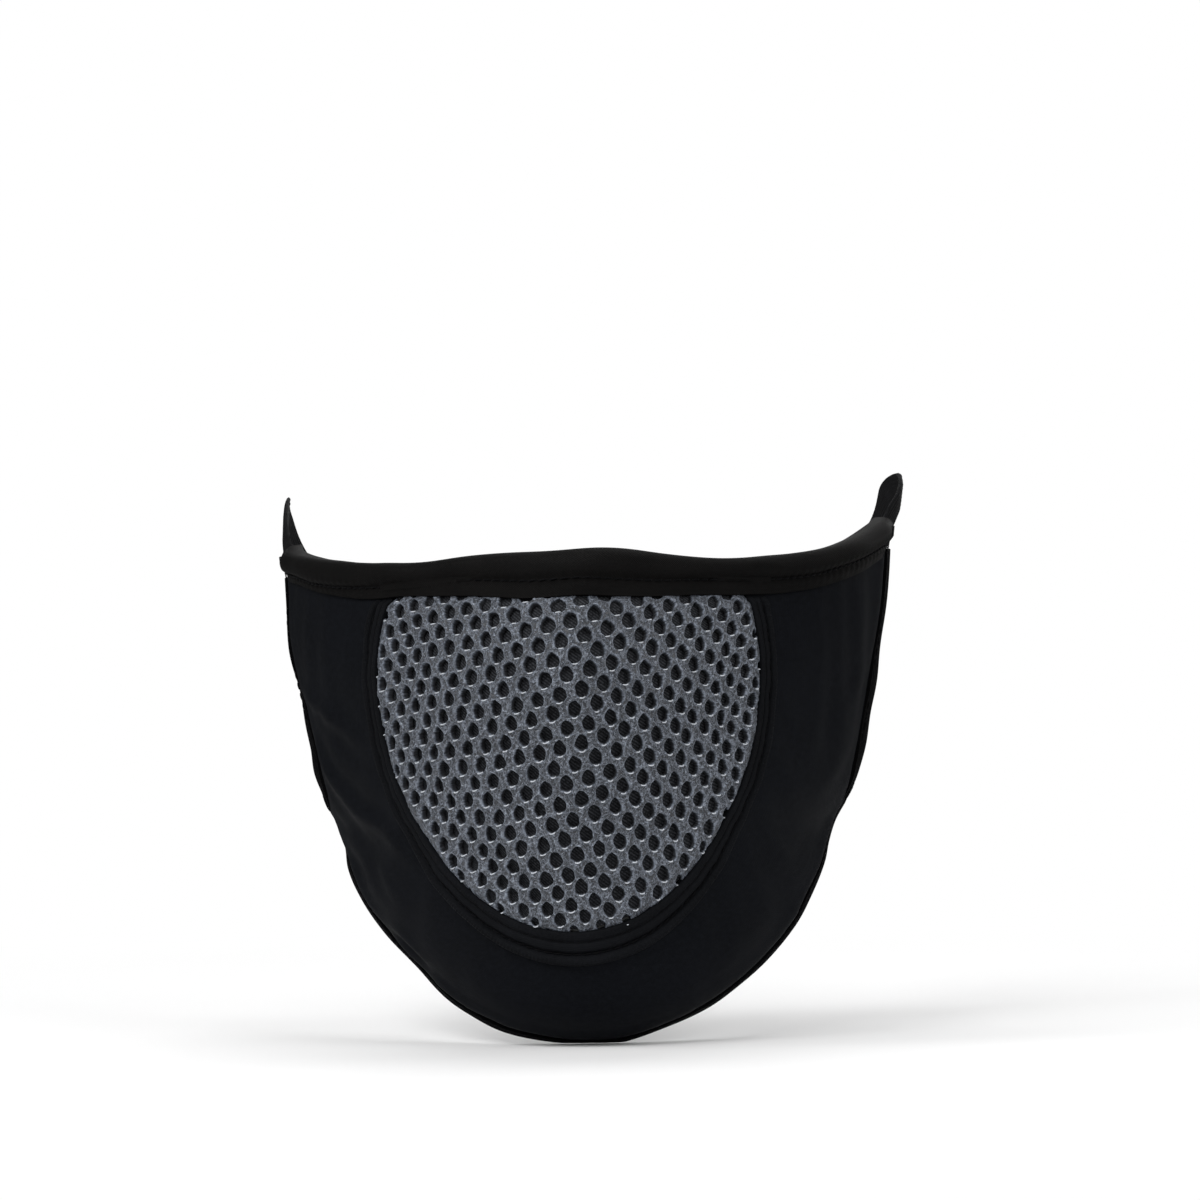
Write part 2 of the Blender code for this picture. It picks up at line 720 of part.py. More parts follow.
def loop_place(col, row, ply):
    share, *directions, half = LOOP
    middle, width, tangent = (
        np.stack([np.interp(col, share, values[:, i]) for i in range(3)], axis=1)
        for values in directions
    )
    width = unit(width)
    normal = unit(np.cross(width, tangent))
    sideways = (2.0 * row - 1.0) * np.interp(col, share, half)
    through_strap = (ply - 0.5) * STRAP_THICK
    return middle + width * sideways[:, None] - normal * through_strap[:, None]


def bartack(line):
    """A dense bar of stitches over a sewn strap end, on the outside."""
    binding_out, binding_height = np.array(TOP_SECTION[4:], float)[::-1].T

    def place(col, row, ply):
        height = blend(*BAR_SPAN[line], row)
        if line == TOP:
            under = np.interp(height, binding_height, binding_out) + BINDING_THICK / 2
        else:
            under = SHELL[1]
        corner = at_corner(line, BAR_BEHIND + BAR_WIDTH * col, height)
        return laid(*corner, under + BAR_GAP[line] + BAR_THICK * ply)

    return place


for side, word in SIDES:
    pivot = Vector((mirrored((AXIS_HIGH + AXIS_LOW) / 2.0, side) * MM).tolist())
    sided(f"ear_loop_{word}", len(LOOP[0]) - 1, 1, loop_place, elastic, side, pivot)
    for line, end in ((TOP, "upper"), (HEM, "lower")):
        sided(f"strap_end_{end}_{word}", 4, 2, strap_end(line), elastic, side)
        sided(f"bartack_{end}_{word}", 1, 4, bartack(line), sewing, side)
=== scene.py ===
"""The looks of the sports face mask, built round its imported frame.

Every visible piece is rebuilt here at fine resolution from the same face form as the frame's
solids: draped knit shell, open air mesh with real holes, stitched tape, rolled binding, ribbed
elastic loops. Lengths are millimetres until a piece is placed in the scene, in metres.
"""

import math

import bmesh
import bpy
import numpy as np
from mathutils import Matrix, Vector


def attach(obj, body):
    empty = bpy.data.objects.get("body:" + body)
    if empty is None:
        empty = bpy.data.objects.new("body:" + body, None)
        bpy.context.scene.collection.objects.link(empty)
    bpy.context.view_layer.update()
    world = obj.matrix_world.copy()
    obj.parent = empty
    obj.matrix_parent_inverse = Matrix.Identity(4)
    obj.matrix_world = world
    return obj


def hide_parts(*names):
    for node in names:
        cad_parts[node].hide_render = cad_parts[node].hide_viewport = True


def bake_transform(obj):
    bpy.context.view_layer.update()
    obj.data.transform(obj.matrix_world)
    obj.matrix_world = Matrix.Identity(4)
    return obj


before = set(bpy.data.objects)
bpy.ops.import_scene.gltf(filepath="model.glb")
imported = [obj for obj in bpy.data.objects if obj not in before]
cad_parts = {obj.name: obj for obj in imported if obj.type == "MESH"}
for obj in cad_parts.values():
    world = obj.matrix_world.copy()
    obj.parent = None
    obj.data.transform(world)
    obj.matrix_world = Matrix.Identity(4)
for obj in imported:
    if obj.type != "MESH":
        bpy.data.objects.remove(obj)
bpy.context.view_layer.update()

# ------------------------------------------------------------------ driving dimensions (mm)
MM = 0.001

SETBACK = 30.58  # the upper side corners lie this far behind the origin; y below is from them

# Face form, inner surface. Midline: share of height, y, z.
CENTRE = (
    (0.0, -66.0, 4.5),
    (0.065, -74.0, 6.9),
    (0.134, -81.0, 12.0),
    (0.223, -86.0, 22.0),
    (0.328, -88.8, 35.0),
    (0.456, -91.0, 51.0),
    (0.594, -93.0, 68.0),
    (0.733, -93.5, 85.0),
    (0.865, -88.5, 100.4),
    (1.0, -80.5, 113.8),
)
# Side edge: share of height, half width, y, z.
EDGE = (
    (0.0, 58.6, -8.0, 52.3),
    (0.25, 62.4, -6.2, 69.0),
    (0.5, 66.3, -4.0, 86.3),
    (0.75, 69.9, -1.8, 104.0),
    (1.0, 72.2, 0.0, 121.8),
)
# Nose ridge: share of height, how far it stands forward.
NOSE = ((0.0, 0.0), (0.45, 0.0), (0.594, 2.0), (0.733, 5.5), (0.865, 6.5), (1.0, 5.0))
NOSE_HALF_WIDTH = 17.0
WING_ANGLE = math.radians(80.0)  # the cross-section's arc, front to side edge
ROUND_LOW, ROUND_HIGH = 1.40, 1.14  # fullness of the section at the jaw and at the cheek
TOP_DIP = 14.6  # how far the top edge dips beside the nose before it climbs to the corners

# Layers, distance outwards from the inner surface.
LINING = (0.0, 0.5)
FILTER = (0.8, 1.2)
STRAP_END = (0.75, 1.9)
BACKING = (1.9, 2.3)
SHELL = (2.3, 3.7)
MESH = (2.7, 5.2)
MESH_PINCH = 3.7  # outer face of the air mesh where it is sewn down
TAPE = (4.0, 4.7)
SEAM_GAP = 0.6  # between two cut edges along the panel seam

# Outline of the air-mesh panel seen from the front, right half from the bottom up: x, z.
MESH_OUTLINE = (
    (0.0, 27.9),
    (14.6, 31.3),
    (27.4, 41.0),
    (36.2, 53.6),
    (42.2, 69.0),
    (44.8, 88.0),
    (43.4, 101.0),
    (40.0, 110.0),
    (36.4, 118.5),
)
SEAM_SIDE_WIDTH, SEAM_CHIN_WIDTH = 6.0, 8.0  # width of the covering tape at the cheeks and chin

EDGE_CUT = 0.8  # layers stop this far short of the edge line they are bound on
BINDING_THICK = 0.8
THREAD_R = 0.25
# Section of the top binding round the cut edge: distance outwards, height over the edge line.
TOP_SECTION = (
    (-1.55, -8.4),
    (-1.55, -1.2),
    (0.0, 0.2),
    (2.0, 0.7),
    (4.3, 0.3),
    (5.6, -1.6),
    (5.6, -4.3),
    (4.7, -5.8),
    (4.5, -8.8),
)
HEM_SECTION = (
    (-1.0, 3.6),
    (-1.0, 0.7),
    (0.2, -0.6),
    (2.6, -0.9),
    (4.8, -0.2),
    (4.8, 1.1),
    (4.5, 4.0),
)
SIDE_SECTION = (
    (-0.85, -5.4),
    (-0.85, -0.7),
    (0.2, 0.3),
    (1.9, 0.7),
    (3.6, 0.3),
    (4.5, -0.7),
    (4.5, -5.6),
)
WIRE_SIZE = (90.0, 3.2, 0.6)  # nose wire: length, width, thickness
WIRE_LIFT = 4.3  # its middle, outwards from the inner surface

# Ear loops.
STRAP_WIDTH, STRAP_THICK = 10.0, 1.2
HINGE_BEHIND = 2.6  # swing axis behind the side edge line
HINGE_CLEAR = 0.9  # strap end to axis, on each side
UPPER_ANCHOR, LOWER_ANCHOR = -6.9, 6.9  # middle of the strap, from the top and bottom edge lines
UPPER_RAKE, LOWER_RAKE = 0.72, 0.22  # climb of the sewn strap end towards the loop
# Strap line on the wearer's left between its two sewn ends: x, y, z, twist in degrees.
LOOP_PATH = (
    (75.6, 8.6, 120.6, 4.0),
    (76.6, 14.6, 127.0, 6.0),
    (76.7, 22.6, 130.2, 6.0),
    (76.2, 30.0, 127.8, 8.0),
    (74.8, 35.4, 121.2, 16.0),
    (71.6, 38.0, 113.6, 42.0),
    (68.2, 40.5, 107.0, 75.0),
    (66.2, 41.9, 101.0, 90.0),
    (65.4, 42.0, 95.0, 90.0),
    (64.6, 42.0, 89.0, 90.0),
    (63.8, 42.0, 83.0, 90.0),
    (62.6, 40.4, 76.6, 84.0),
    (61.6, 34.0, 70.6, 60.0),
    (61.4, 24.4, 66.4, 32.0),
    (61.9, 12.4, 63.4, 10.0),
)


# ------------------------------------------------------------------ small maths helpers
def through(rows, t):
    """Smooth curve through rows of (parameter, values...), straight beyond both ends."""
    rows = np.array(rows, float)
    k, p = rows[:, 0], rows[:, 1:]
    m = np.empty_like(p)
    m[1:-1] = (p[2:] - p[:-2]) / (k[2:] - k[:-2])[:, None]
    m[0] = (p[1] - p[0]) / (k[1] - k[0])
    m[-1] = (p[-1] - p[-2]) / (k[-1] - k[-2])
    t = np.atleast_1d(np.asarray(t, float))
    c = np.clip(t, k[0], k[-1])
    i = np.clip(np.searchsorted(k, c, side="right") - 1, 0, len(k) - 2)
    h = (k[i + 1] - k[i])[:, None]
    q = (c - k[i])[:, None] / h
    found = (
        (2 * q**3 - 3 * q**2 + 1) * p[i]
        + (q**3 - 2 * q**2 + q) * h * m[i]
        + (3 * q**2 - 2 * q**3) * p[i + 1]
        + (q**3 - q**2) * h * m[i + 1]
    )
    return found + (t - c)[:, None] * np.where((t < c)[:, None], m[0], m[-1])


def ease(t):
    t = np.clip(t, 0.0, 1.0)
    return t * t * (3.0 - 2.0 * t)


def unit(a):
    return a / np.linalg.norm(a, axis=-1, keepdims=True)


def face(u, v):
    """Inner surface of the mask. u runs -1..1 across the face, v 0..1 from the hem to the top."""
    u, v = np.broadcast_arrays(np.atleast_1d(u).astype(float), np.atleast_1d(v).astype(float))
    angle = u * WING_ANGLE
    s = np.sin(angle) / math.sin(WING_ANGLE)
    edge, centre = through(EDGE, v), through(CENTRE, v)
    w = ease(v)
    power = ROUND_LOW + (ROUND_HIGH - ROUND_LOW) * w
    last = math.cos(WING_ANGLE) ** power
    front = (np.abs(np.cos(angle)) ** power - last) / (1.0 - last)
    jaw = 0.55 * (1.0 - np.cos(angle)) / (1.0 - math.cos(WING_ANGLE)) + 0.45 * s**2
    rise = (1.0 - w) * jaw + w * s**4
    x = edge[:, 0] * s
    y = edge[:, 1] + (centre[:, 0] - edge[:, 1]) * front
    y = y - through(NOSE, v)[:, 0] * np.exp(-((x / NOSE_HALF_WIDTH) ** 2))
    z = centre[:, 1] + (edge[:, 2] - centre[:, 1]) * rise
    z = z + ease((v - 0.55) / 0.45) * TOP_DIP * (s**4 - s**2)
    return np.stack([x, y + SETBACK, z], axis=1)


def slopes(u, v):
    """Derivatives of the face across and up, and its outward normal."""
    e = 1e-4
    across = (face(u + e, v) - face(u - e, v)) / (2 * e)
    up = (face(u, v + e) - face(u, v - e)) / (2 * e)
    return across, up, unit(np.cross(across, up))


def laid(u, v, d):
    """Points at distance d outwards from the face."""
    u, v, d = np.broadcast_arrays(*(np.atleast_1d(a).astype(float) for a in (u, v, d)))
    return face(u, v) + slopes(u, v)[2] * d[:, None]


def above_top(u, h):
    """v of a line h millimetres over the top edge line."""
    across, up, _ = slopes(u, np.ones_like(u))
    return 1.0 + h / np.linalg.norm(np.cross(up, unit(across)), axis=1)


def above_hem(u, h):
    across, up, _ = slopes(u, np.zeros_like(u))
    return h / np.linalg.norm(np.cross(up, unit(across)), axis=1)


def past_edge(v, s):
    """u of a line s millimetres behind the side edge line of the wearer's left."""
    across, up, _ = slopes(np.ones_like(v), v)
    return 1.0 + s / np.linalg.norm(np.cross(across, unit(up)), axis=1)


def at_corner(s, h, top):
    """(u, v) at s behind the side edge and h over the top or hem line, near a corner."""
    s, h = np.broadcast_arrays(np.atleast_1d(s).astype(float), np.atleast_1d(h).astype(float))
    v = (above_top if top else above_hem)(np.ones_like(h), h)
    return past_edge(v, s), v


def located(x, z, d):
    """(u, v) of the point that, at distance d outwards, is seen from the front at x, z."""
    u, v = x / 75.0, z / 118.0
    e = 1e-4
    for _ in range(40):
        p = laid(u, v, d)
        pu = (laid(u + e, v, d) - p) / e
        pv = (laid(u, v + e, d) - p) / e
        dx, dz = x - p[:, 0], z - p[:, 2]
        det = pu[:, 0] * pv[:, 2] - pv[:, 0] * pu[:, 2]
        u = u + np.clip((dx * pv[:, 2] - dz * pv[:, 0]) / det, -0.08, 0.08)
        v = v + np.clip((pu[:, 0] * dz - pu[:, 2] * dx) / det, -0.08, 0.08)
    return u, v


def widened(u, v, w):
    """The curve u, v moved w millimetres outwards, away from the mesh panel, along the face."""
    p = face(u, v)
    across, up, n = slopes(u, v)
    tangent = unit(np.gradient(p, axis=0))
    side = np.cross(tangent, n) * np.asarray(w, float).reshape(-1, 1)
    aa, bb = (across * across).sum(1), (up * up).sum(1)
    ab, sa, sb = (across * up).sum(1), (side * across).sum(1), (side * up).sum(1)
    det = aa * bb - ab * ab
    return u + (sa * bb - sb * ab) / det, v + (sb * aa - sa * ab) / det


# ------------------------------------------------------------------ the panel seam
def panel_seam():
    """Dense (u, v) curve of the seam, from the top right, round the chin, to the top left."""
    half = np.array(MESH_OUTLINE, float)
    rows = np.concatenate([(half * (-1, 1))[:0:-1], half])
    rows[:, 0] -= 1.6  # worn, the panel sits a little to the wearer's right
    step = np.concatenate([[0], np.cumsum(np.linalg.norm(np.diff(rows, axis=0), axis=1))])
    share = 2.0 * step / step[-1] - 1.0
    t = np.linspace(-1.0, 1.0, 401)
    xz = through(np.column_stack([share, rows]), t)
    u, v = located(xz[:, 0], xz[:, 1], MESH_PINCH)
    inside = v <= above_top(u, -EDGE_CUT - 0.4)
    return u[inside], v[inside]


SEAM_U, SEAM_V = panel_seam()


def seam(t, w):
    """(u, v) on the seam at t = -1..1, moved w millimetres away from the mesh panel."""
    u, v = widened(SEAM_U, SEAM_V, np.full(len(SEAM_U), float(w)))
    k = np.linspace(-1.0, 1.0, len(u))
    return np.interp(t, k, u), np.interp(t, k, v)


def seam_varied(t, w):
    u, v = seam(t, 0.0)
    return widened(u, v, w)



# ------------------------------------------------------------------ how this mask sits
# Worn outline against the pattern's: height, outwards on the wearer's right, on the wearer's left, half width.
WORN = (
    (0.0, 3.4, -2.8, 16.0),
    (3.0, 3.4, -2.2, 20.0),
    (8.0, 3.0, -0.6, 30.0),
    (12.0, 2.0, -0.2, 36.0),
    (17.0, 1.2, 0.2, 42.0),
    (25.0, 1.6, 0.5, 52.0),
    (32.0, 1.7, -0.8, 56.5),
    (40.0, 0.75, -1.6, 60.5),
    (45.0, -0.4, -2.6, 62.0),
    (50.0, -0.5, -2.6, 63.0),
    (54.5, 0.8, -1.2, 65.0),
    (59.0, 1.5, 0.3, 67.0),
    (64.0, 2.2, 0.8, 69.0),
    (70.0, 1.7, 1.0, 70.5),
    (79.0, 1.8, 0.7, 72.5),
    (84.0, 1.9, 0.5, 73.5),
    (90.0, 2.0, 0.3, 74.5),
    (99.0, 1.6, 0.3, 76.0),
    (110.0, 0.2, 0.0, 77.5),
    (125.0, 0.0, 0.0, 78.0),
)


def warp(p):
    """The worn mask isn't quite symmetric: chin towards the wearer's left, that corner pulled up,
    the side edges curling outwards low down, and the straps leaving the corners at their own angles."""
    p = np.array(p, float)
    x, y, z = p[:, 0].copy(), p[:, 1] - SETBACK, p[:, 2].copy()
    s = np.clip(x / 74.0, -1.1, 1.1)
    high = ease((z - 78.0) / 42.0)
    dx = 2.2 * np.exp(-((np.maximum(z, 0.0) / 34.0) ** 2))
    dz = (0.55 * np.abs(s) ** 3 + 2.1 * s**3) * high
    worn = through(np.array(WORN), np.clip(z, 0.0, 125.0))
    share = np.clip(np.abs(x) / worn[:, 2], 0.0, 1.1) ** 3
    dx = dx + np.where(x > 0, worn[:, 1], -worn[:, 0]) * share
    # the last centimetre of the side edge turns out, the cloth before it draws in
    edge = -8.0 + (z - 52.3) * 0.107
    out = ease((y - edge + 9.0) / 9.0) * (1.0 - ease((y - edge - 5.0) / 24.0))
    dip = np.exp(-(((y - edge + 10.0) / 5.0) ** 2))
    tall = np.exp(-(((z - np.where(x > 0, 76.0, 68.0)) / np.where(x > 0, 20.0, 15.0)) ** 2)) * ease((np.abs(x) - 40.0) / 12.0)
    dx = dx + np.sign(x) * tall * (0.9 * out - 0.9 * dip)
    # the straps over the upper corners
    rear = ease((y - 20.0) / 13.0)
    strap_ = ease((y - 3.0) / 8.0) * ease((z - 102.0) / 14.0)
    leans = np.where(x > 0, 0.22 * np.clip(z - 119.0, 0.0, 13.0) * (1.0 - rear) - 1.2 * rear, -0.9 - 1.8 * rear)
    dx = dx + strap_ * leans
    dz = dz - strap_ * np.where(x > 0, 1.5, 0.0) * ease((z - 118.0) / 14.0)
    p[:, 0] += dx
    p[:, 2] = np.maximum(p[:, 2] + dz, np.minimum(p[:, 2], 0.0))
    return p


class Field:
    """A smooth height over the face, in mm outwards, kept as a table over u and v."""

    U = np.linspace(-1.06, 1.06, 531)
    V = np.linspace(-0.06, 1.06, 281)

    def __init__(self, table):
        self.table = table

    def __call__(self, u, v):
        i = np.clip((u - self.U[0]) / (self.U[1] - self.U[0]), 0, len(self.U) - 1.001)
        j = np.clip((v - self.V[0]) / (self.V[1] - self.V[0]), 0, len(self.V) - 1.001)
        i0, j0 = i.astype(int), j.astype(int)
        a, b = i - i0, j - j0
        t = self.table
        return (
            t[i0, j0] * (1 - a) * (1 - b)
            + t[i0 + 1, j0] * a * (1 - b)
            + t[i0, j0 + 1] * (1 - a) * b
            + t[i0 + 1, j0 + 1] * a * b
        )


GU, GV = np.meshgrid(Field.U, Field.V, indexing="ij")
GRID = face(GU.ravel(), GV.ravel())


def smoothed(table, times):
    for _ in range(times):
        t = np.pad(table, 1, mode="edge")
        table = (t[1:-1, 1:-1] * 2 + t[:-2, 1:-1] + t[2:, 1:-1] + t[1:-1, :-2] + t[1:-1, 2:]) / 6.0
    return table


# Folds and creases: (u, v) line, height, width, share of the width the fold leans by.
FOLDS = (
    (((-0.99, 0.516), (-0.86, 0.54), (-0.736, 0.556), (-0.64, 0.556), (-0.56, 0.548)), 0.85, 2.6, 0.5),
    (((-0.97, 0.44), (-0.814, 0.388), (-0.678, 0.344), (-0.58, 0.35), (-0.498, 0.354), (-0.42, 0.322)), 1.15, 2.8, -0.6),
    (((-0.93, 0.27), (-0.78, 0.27), (-0.63, 0.245), (-0.54, 0.215)), -0.8, 3.2, 0.4),
    (((-0.66, 0.24), (-0.57, 0.23), (-0.50, 0.205)), 0.7, 2.6, 0.3),
    (((-0.90, 0.10), (-0.80, 0.15), (-0.70, 0.17), (-0.60, 0.15)), 0.7, 3.0, 0.5),
    (((-0.60, 0.05), (-0.52, 0.074), (-0.47, 0.07), (-0.41, 0.060)), -1.5, 1.7, 0.4),
    (((-0.43, 0.05), (-0.396, 0.048), (-0.336, 0.042), (-0.26, 0.037)), 1.0, 1.9, -0.4),
    (((-0.56, 0.10), (-0.49, 0.105), (-0.42, 0.098)), 0.8, 2.0, 0.4),
    (((0.95, 0.62), (0.84, 0.57), (0.74, 0.50)), 0.45, 4.0, 0.3),
    (((0.92, 0.32), (0.80, 0.30), (0.68, 0.25)), -0.4, 4.5, 0.3),
    (((0.74, 0.16), (0.66, 0.14), (0.58, 0.15)), 0.4, 3.4, 0.3),
    (((0.62, 0.05), (0.60, 0.09), (0.57, 0.13)), 0.5, 2.2, 0.3),
    (((0.42, 0.085), (0.30, 0.08), (0.20, 0.085)), 0.35, 2.2, 0.3),
    (((-0.20, 0.02), (-0.17, 0.06), (-0.16, 0.10)), 0.35, 3.0, 0.3),
    (((0.24, 0.02), (0.26, 0.06), (0.27, 0.11)), 0.3, 3.4, 0.3),
)


def folds_table():
    made = np.zeros(len(GRID))
    for line, height, width, lean in FOLDS:
        line = np.array(line, float)
        k = np.linspace(0, 1, len(line))
        uv = through(np.column_stack([k, line]), np.linspace(0, 1, 25))
        p = face(uv[:, 0], uv[:, 1])
        best, at, side = np.full(len(GRID), 1e9), np.zeros(len(GRID)), np.zeros(len(GRID))
        near = np.linalg.norm(GRID - p.mean(0), axis=1) < 60.0
        q = GRID[near]
        for n in range(len(p) - 1):
            a, e = p[n], p[n + 1] - p[n]
            t = np.clip(((q - a) @ e) / (e @ e), 0, 1)
            off = q - (a + t[:, None] * e)
            d = np.linalg.norm(off, axis=1)
            ahead = np.cross(e / np.linalg.norm(e), unit(np.array([a[0], a[1] - SETBACK, 0.0])))
            sign = np.sign(off @ ahead)
            closer = d < best[near]
            idx = np.where(near)[0][closer]
            best[idx], at[idx], side[idx] = d[closer], (n + t[closer]) / (len(p) - 1), sign[closer]
        ends = np.sin(np.pi * np.clip(at * 0.9 + 0.05, 0, 1)) ** 0.8
        beyond = np.exp(-((np.maximum(best, 0) / (1.0 * width)) ** 2))
        s = best * side
        trough = np.exp(-(((s - lean * 2.4 * width) / (1.1 * width)) ** 2)) * 0.45
        made += height * ends * (beyond - trough * (best < 6 * width))
    return smoothed(made.reshape(GU.shape), 6)


def edge_mask():
    """1 in the open cloth, falling to 0 towards the sewn outer edges."""
    top = ease((1.0 - GV) / 0.16)
    side = ease((1.0 - np.abs(GU)) / 0.20)
    hem = 0.35 + 0.65 * ease(GV / 0.10)
    return top * side * hem


def seam_distance(p):
    """Distance of points from the panel seam's line, in mm."""
    line = face(SEAM_U[::6], SEAM_V[::6])
    best = np.full(len(p), 1e9)
    for c in line:
        best = np.minimum(best, ((p - c) ** 2).sum(1))
    return np.sqrt(best)


def drape_table():
    """A cloth simulation of the whole sheet, held at its edges and along the panel seam: the slack
    cloth settles into soft ripples. Run at ten to one in decimetres, where the solver is steady."""
    nu, nv = 150, 84
    u, v = np.meshgrid(np.linspace(-1, 1, nu), np.linspace(0, 1, nv), indexing="ij")
    rest = laid(u.ravel(), v.ravel(), SHELL[1])
    idx = np.arange(nu * nv).reshape(nu, nv)
    quads = np.stack([idx[:-1, :-1], idx[1:, :-1], idx[1:, 1:], idx[:-1, 1:]], -1).reshape(-1, 4)
    mesh = bpy.data.meshes.new("drape")
    rng = np.random.default_rng(11)
    normal = slopes(u.ravel(), v.ravel())[2]
    start = rest + normal * (rng.normal(0, 0.02, len(rest)))[:, None]
    mesh.from_pydata((start * 0.01).tolist(), [], quads.tolist())
    sheet = bpy.data.objects.new("drape", mesh)
    bpy.context.scene.collection.objects.link(sheet)
    border = np.minimum.reduce(
        [(1 - np.abs(u.ravel())) / 0.05, v.ravel() / 0.05, (1 - v.ravel()) / 0.09]
    )
    held = np.clip(1.0 - border, 0, 1)
    held = np.maximum(held, 0.9 * np.exp(-((seam_distance(face(u.ravel(), v.ravel())) / 3.0) ** 2)))
    group = sheet.vertex_groups.new(name="held")
    for level in range(1, 21):
        pick = np.where(np.round(held * 20) == level)[0]
        if len(pick):
            group.add([int(k) for k in pick], level / 20.0, "REPLACE")
    cloth = sheet.modifiers.new("cloth", "CLOTH")
    s = cloth.settings
    s.quality, s.mass = 6, 0.2
    s.tension_stiffness = s.compression_stiffness = 12.0
    s.shear_stiffness, s.bending_stiffness = 4.0, 0.35
    s.vertex_group_mass, s.pin_stiffness = "held", 1.0
    s.shrink_min = s.shrink_max = -0.035
    s.effector_weights.gravity = 0.35
    cloth.collision_settings.use_collision = False
    cloth.collision_settings.use_self_collision = False
    cloth.point_cache.frame_start, cloth.point_cache.frame_end = 1, 30
    scene = bpy.context.scene
    for f in range(1, 27):
        scene.frame_set(f)
    got = sheet.evaluated_get(bpy.context.evaluated_depsgraph_get()).to_mesh()
    co = np.zeros(nu * nv * 3)
    got.vertices.foreach_get("co", co)
    move = ((co.reshape(-1, 3) * 100.0 - rest) * normal).sum(1).reshape(nu, nv)
    bpy.data.objects.remove(sheet)
    bpy.data.meshes.remove(mesh)
    scene.frame_set(1)
    move = np.clip(np.nan_to_num(move), -1.8, 1.8)
    move = smoothed(move, 3)
    i = np.clip((GU + 1) / 2 * (nu - 1), 0, nu - 1.001)
    j = np.clip(GV * (nv - 1), 0, nv - 1.001)
    i0, j0 = i.astype(int), j.astype(int)
    a, b = i - i0, j - j0
    table = (
        move[i0, j0] * (1 - a) * (1 - b)
        + move[i0 + 1, j0] * a * (1 - b)
        + move[i0, j0 + 1] * (1 - a) * b
        + move[i0 + 1, j0 + 1] * a * b
    )
    return 0.5 * smoothed(table, 16)


print("drape ...", flush=True)
DRAPE = drape_table()
RELIEF = Field((DRAPE + folds_table()) * edge_mask())


def lay(u, v, d, soft=1.0):
    """Points at distance d outwards from the face, as the cloth really hangs."""
    u, v, d = np.broadcast_arrays(*(np.atleast_1d(a).astype(float) for a in (u, v, d)))
    return warp(face(u, v) + slopes(u, v)[2] * (d + soft * RELIEF(u, v))[:, None])


# ------------------------------------------------------------------ placing pieces
def place(name, verts, faces, uv, material, body="mask", cuts=40.0):
    """Adds a piece. verts in mm, faces as an index array or list, uv in mm for each vertex."""
    mesh = bpy.data.meshes.new(name)
    faces = faces.tolist() if isinstance(faces, np.ndarray) else faces
    mesh.from_pydata((np.asarray(verts) * MM).tolist(), [], faces)
    mesh.update()
    if uv is not None:
        index = np.zeros(len(mesh.loops), int)
        mesh.loops.foreach_get("vertex_index", index)
        layer_ = mesh.uv_layers.new(name="cloth")
        layer_.data.foreach_set("uv", np.asarray(uv, np.float32)[index].ravel())
    mesh.materials.append(material)
    mesh.shade_smooth()
    mesh.set_sharp_from_angle(angle=math.radians(cuts))
    obj = bpy.data.objects.new(name, mesh)
    bpy.context.scene.collection.objects.link(obj)
    if body:
        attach(obj, body)
    return obj


def skins(outer, inner, uv):
    """A closed sheet between two grids of points (ni, nj, 3): verts, faces, uv."""
    ni, nj = outer.shape[:2]
    idx = np.arange(ni * nj).reshape(ni, nj)
    out = np.stack([idx[:-1, :-1], idx[1:, :-1], idx[1:, 1:], idx[:-1, 1:]], -1).reshape(-1, 4)
    k = ni * nj
    inn = out[:, ::-1] + k
    sides = []
    for line in (idx[0, ::-1], idx[-1, :], idx[:, 0], idx[::-1, -1]):
        sides.append(np.stack([line[:-1], line[:-1] + k, line[1:] + k, line[1:]], -1))
    faces = np.concatenate([out, inn] + sides)
    mi, mj = ni // 2, nj // 2
    n = np.cross(outer[mi + 1, mj] - outer[mi, mj], outer[mi, mj + 1] - outer[mi, mj])
    if n @ (outer[mi, mj] - inner[mi, mj]) < 0:
        faces = faces[:, ::-1]
    verts = np.concatenate([outer.reshape(-1, 3), inner.reshape(-1, 3)])
    return verts, faces, np.concatenate([uv.reshape(-1, 2)] * 2)


def lengths(outer):
    """Cloth coordinates in mm of a grid of points, measured along its two middle lines."""
    ni, nj = outer.shape[:2]
    a = np.concatenate([[0], np.cumsum(np.linalg.norm(np.diff(outer[:, nj // 2], axis=0), axis=1))])
    b = np.concatenate([[0], np.cumsum(np.linalg.norm(np.diff(outer[ni // 2], axis=0), axis=1))])
    return np.stack(np.meshgrid(a, b, indexing="ij"), -1)


def both(ni, nj):
    a, b = np.meshgrid(np.linspace(0, 1, ni), np.linspace(0, 1, nj), indexing="ij")
    return a.ravel(), b.ravel()


def sheet(name, ni, nj, at, material, body="mask", cuts=40.0):
    """A closed sheet from at(a, b, c) -> points, c = 0 inside and 1 outside."""
    a, b = both(ni, nj)
    outer, inner = (at(a, b, np.full_like(a, c)).reshape(ni, nj, 3) for c in (1.0, 0.0))
    verts, faces, uv = skins(outer, inner, lengths(outer))
    return place(name, verts, faces, uv, material, body, cuts)


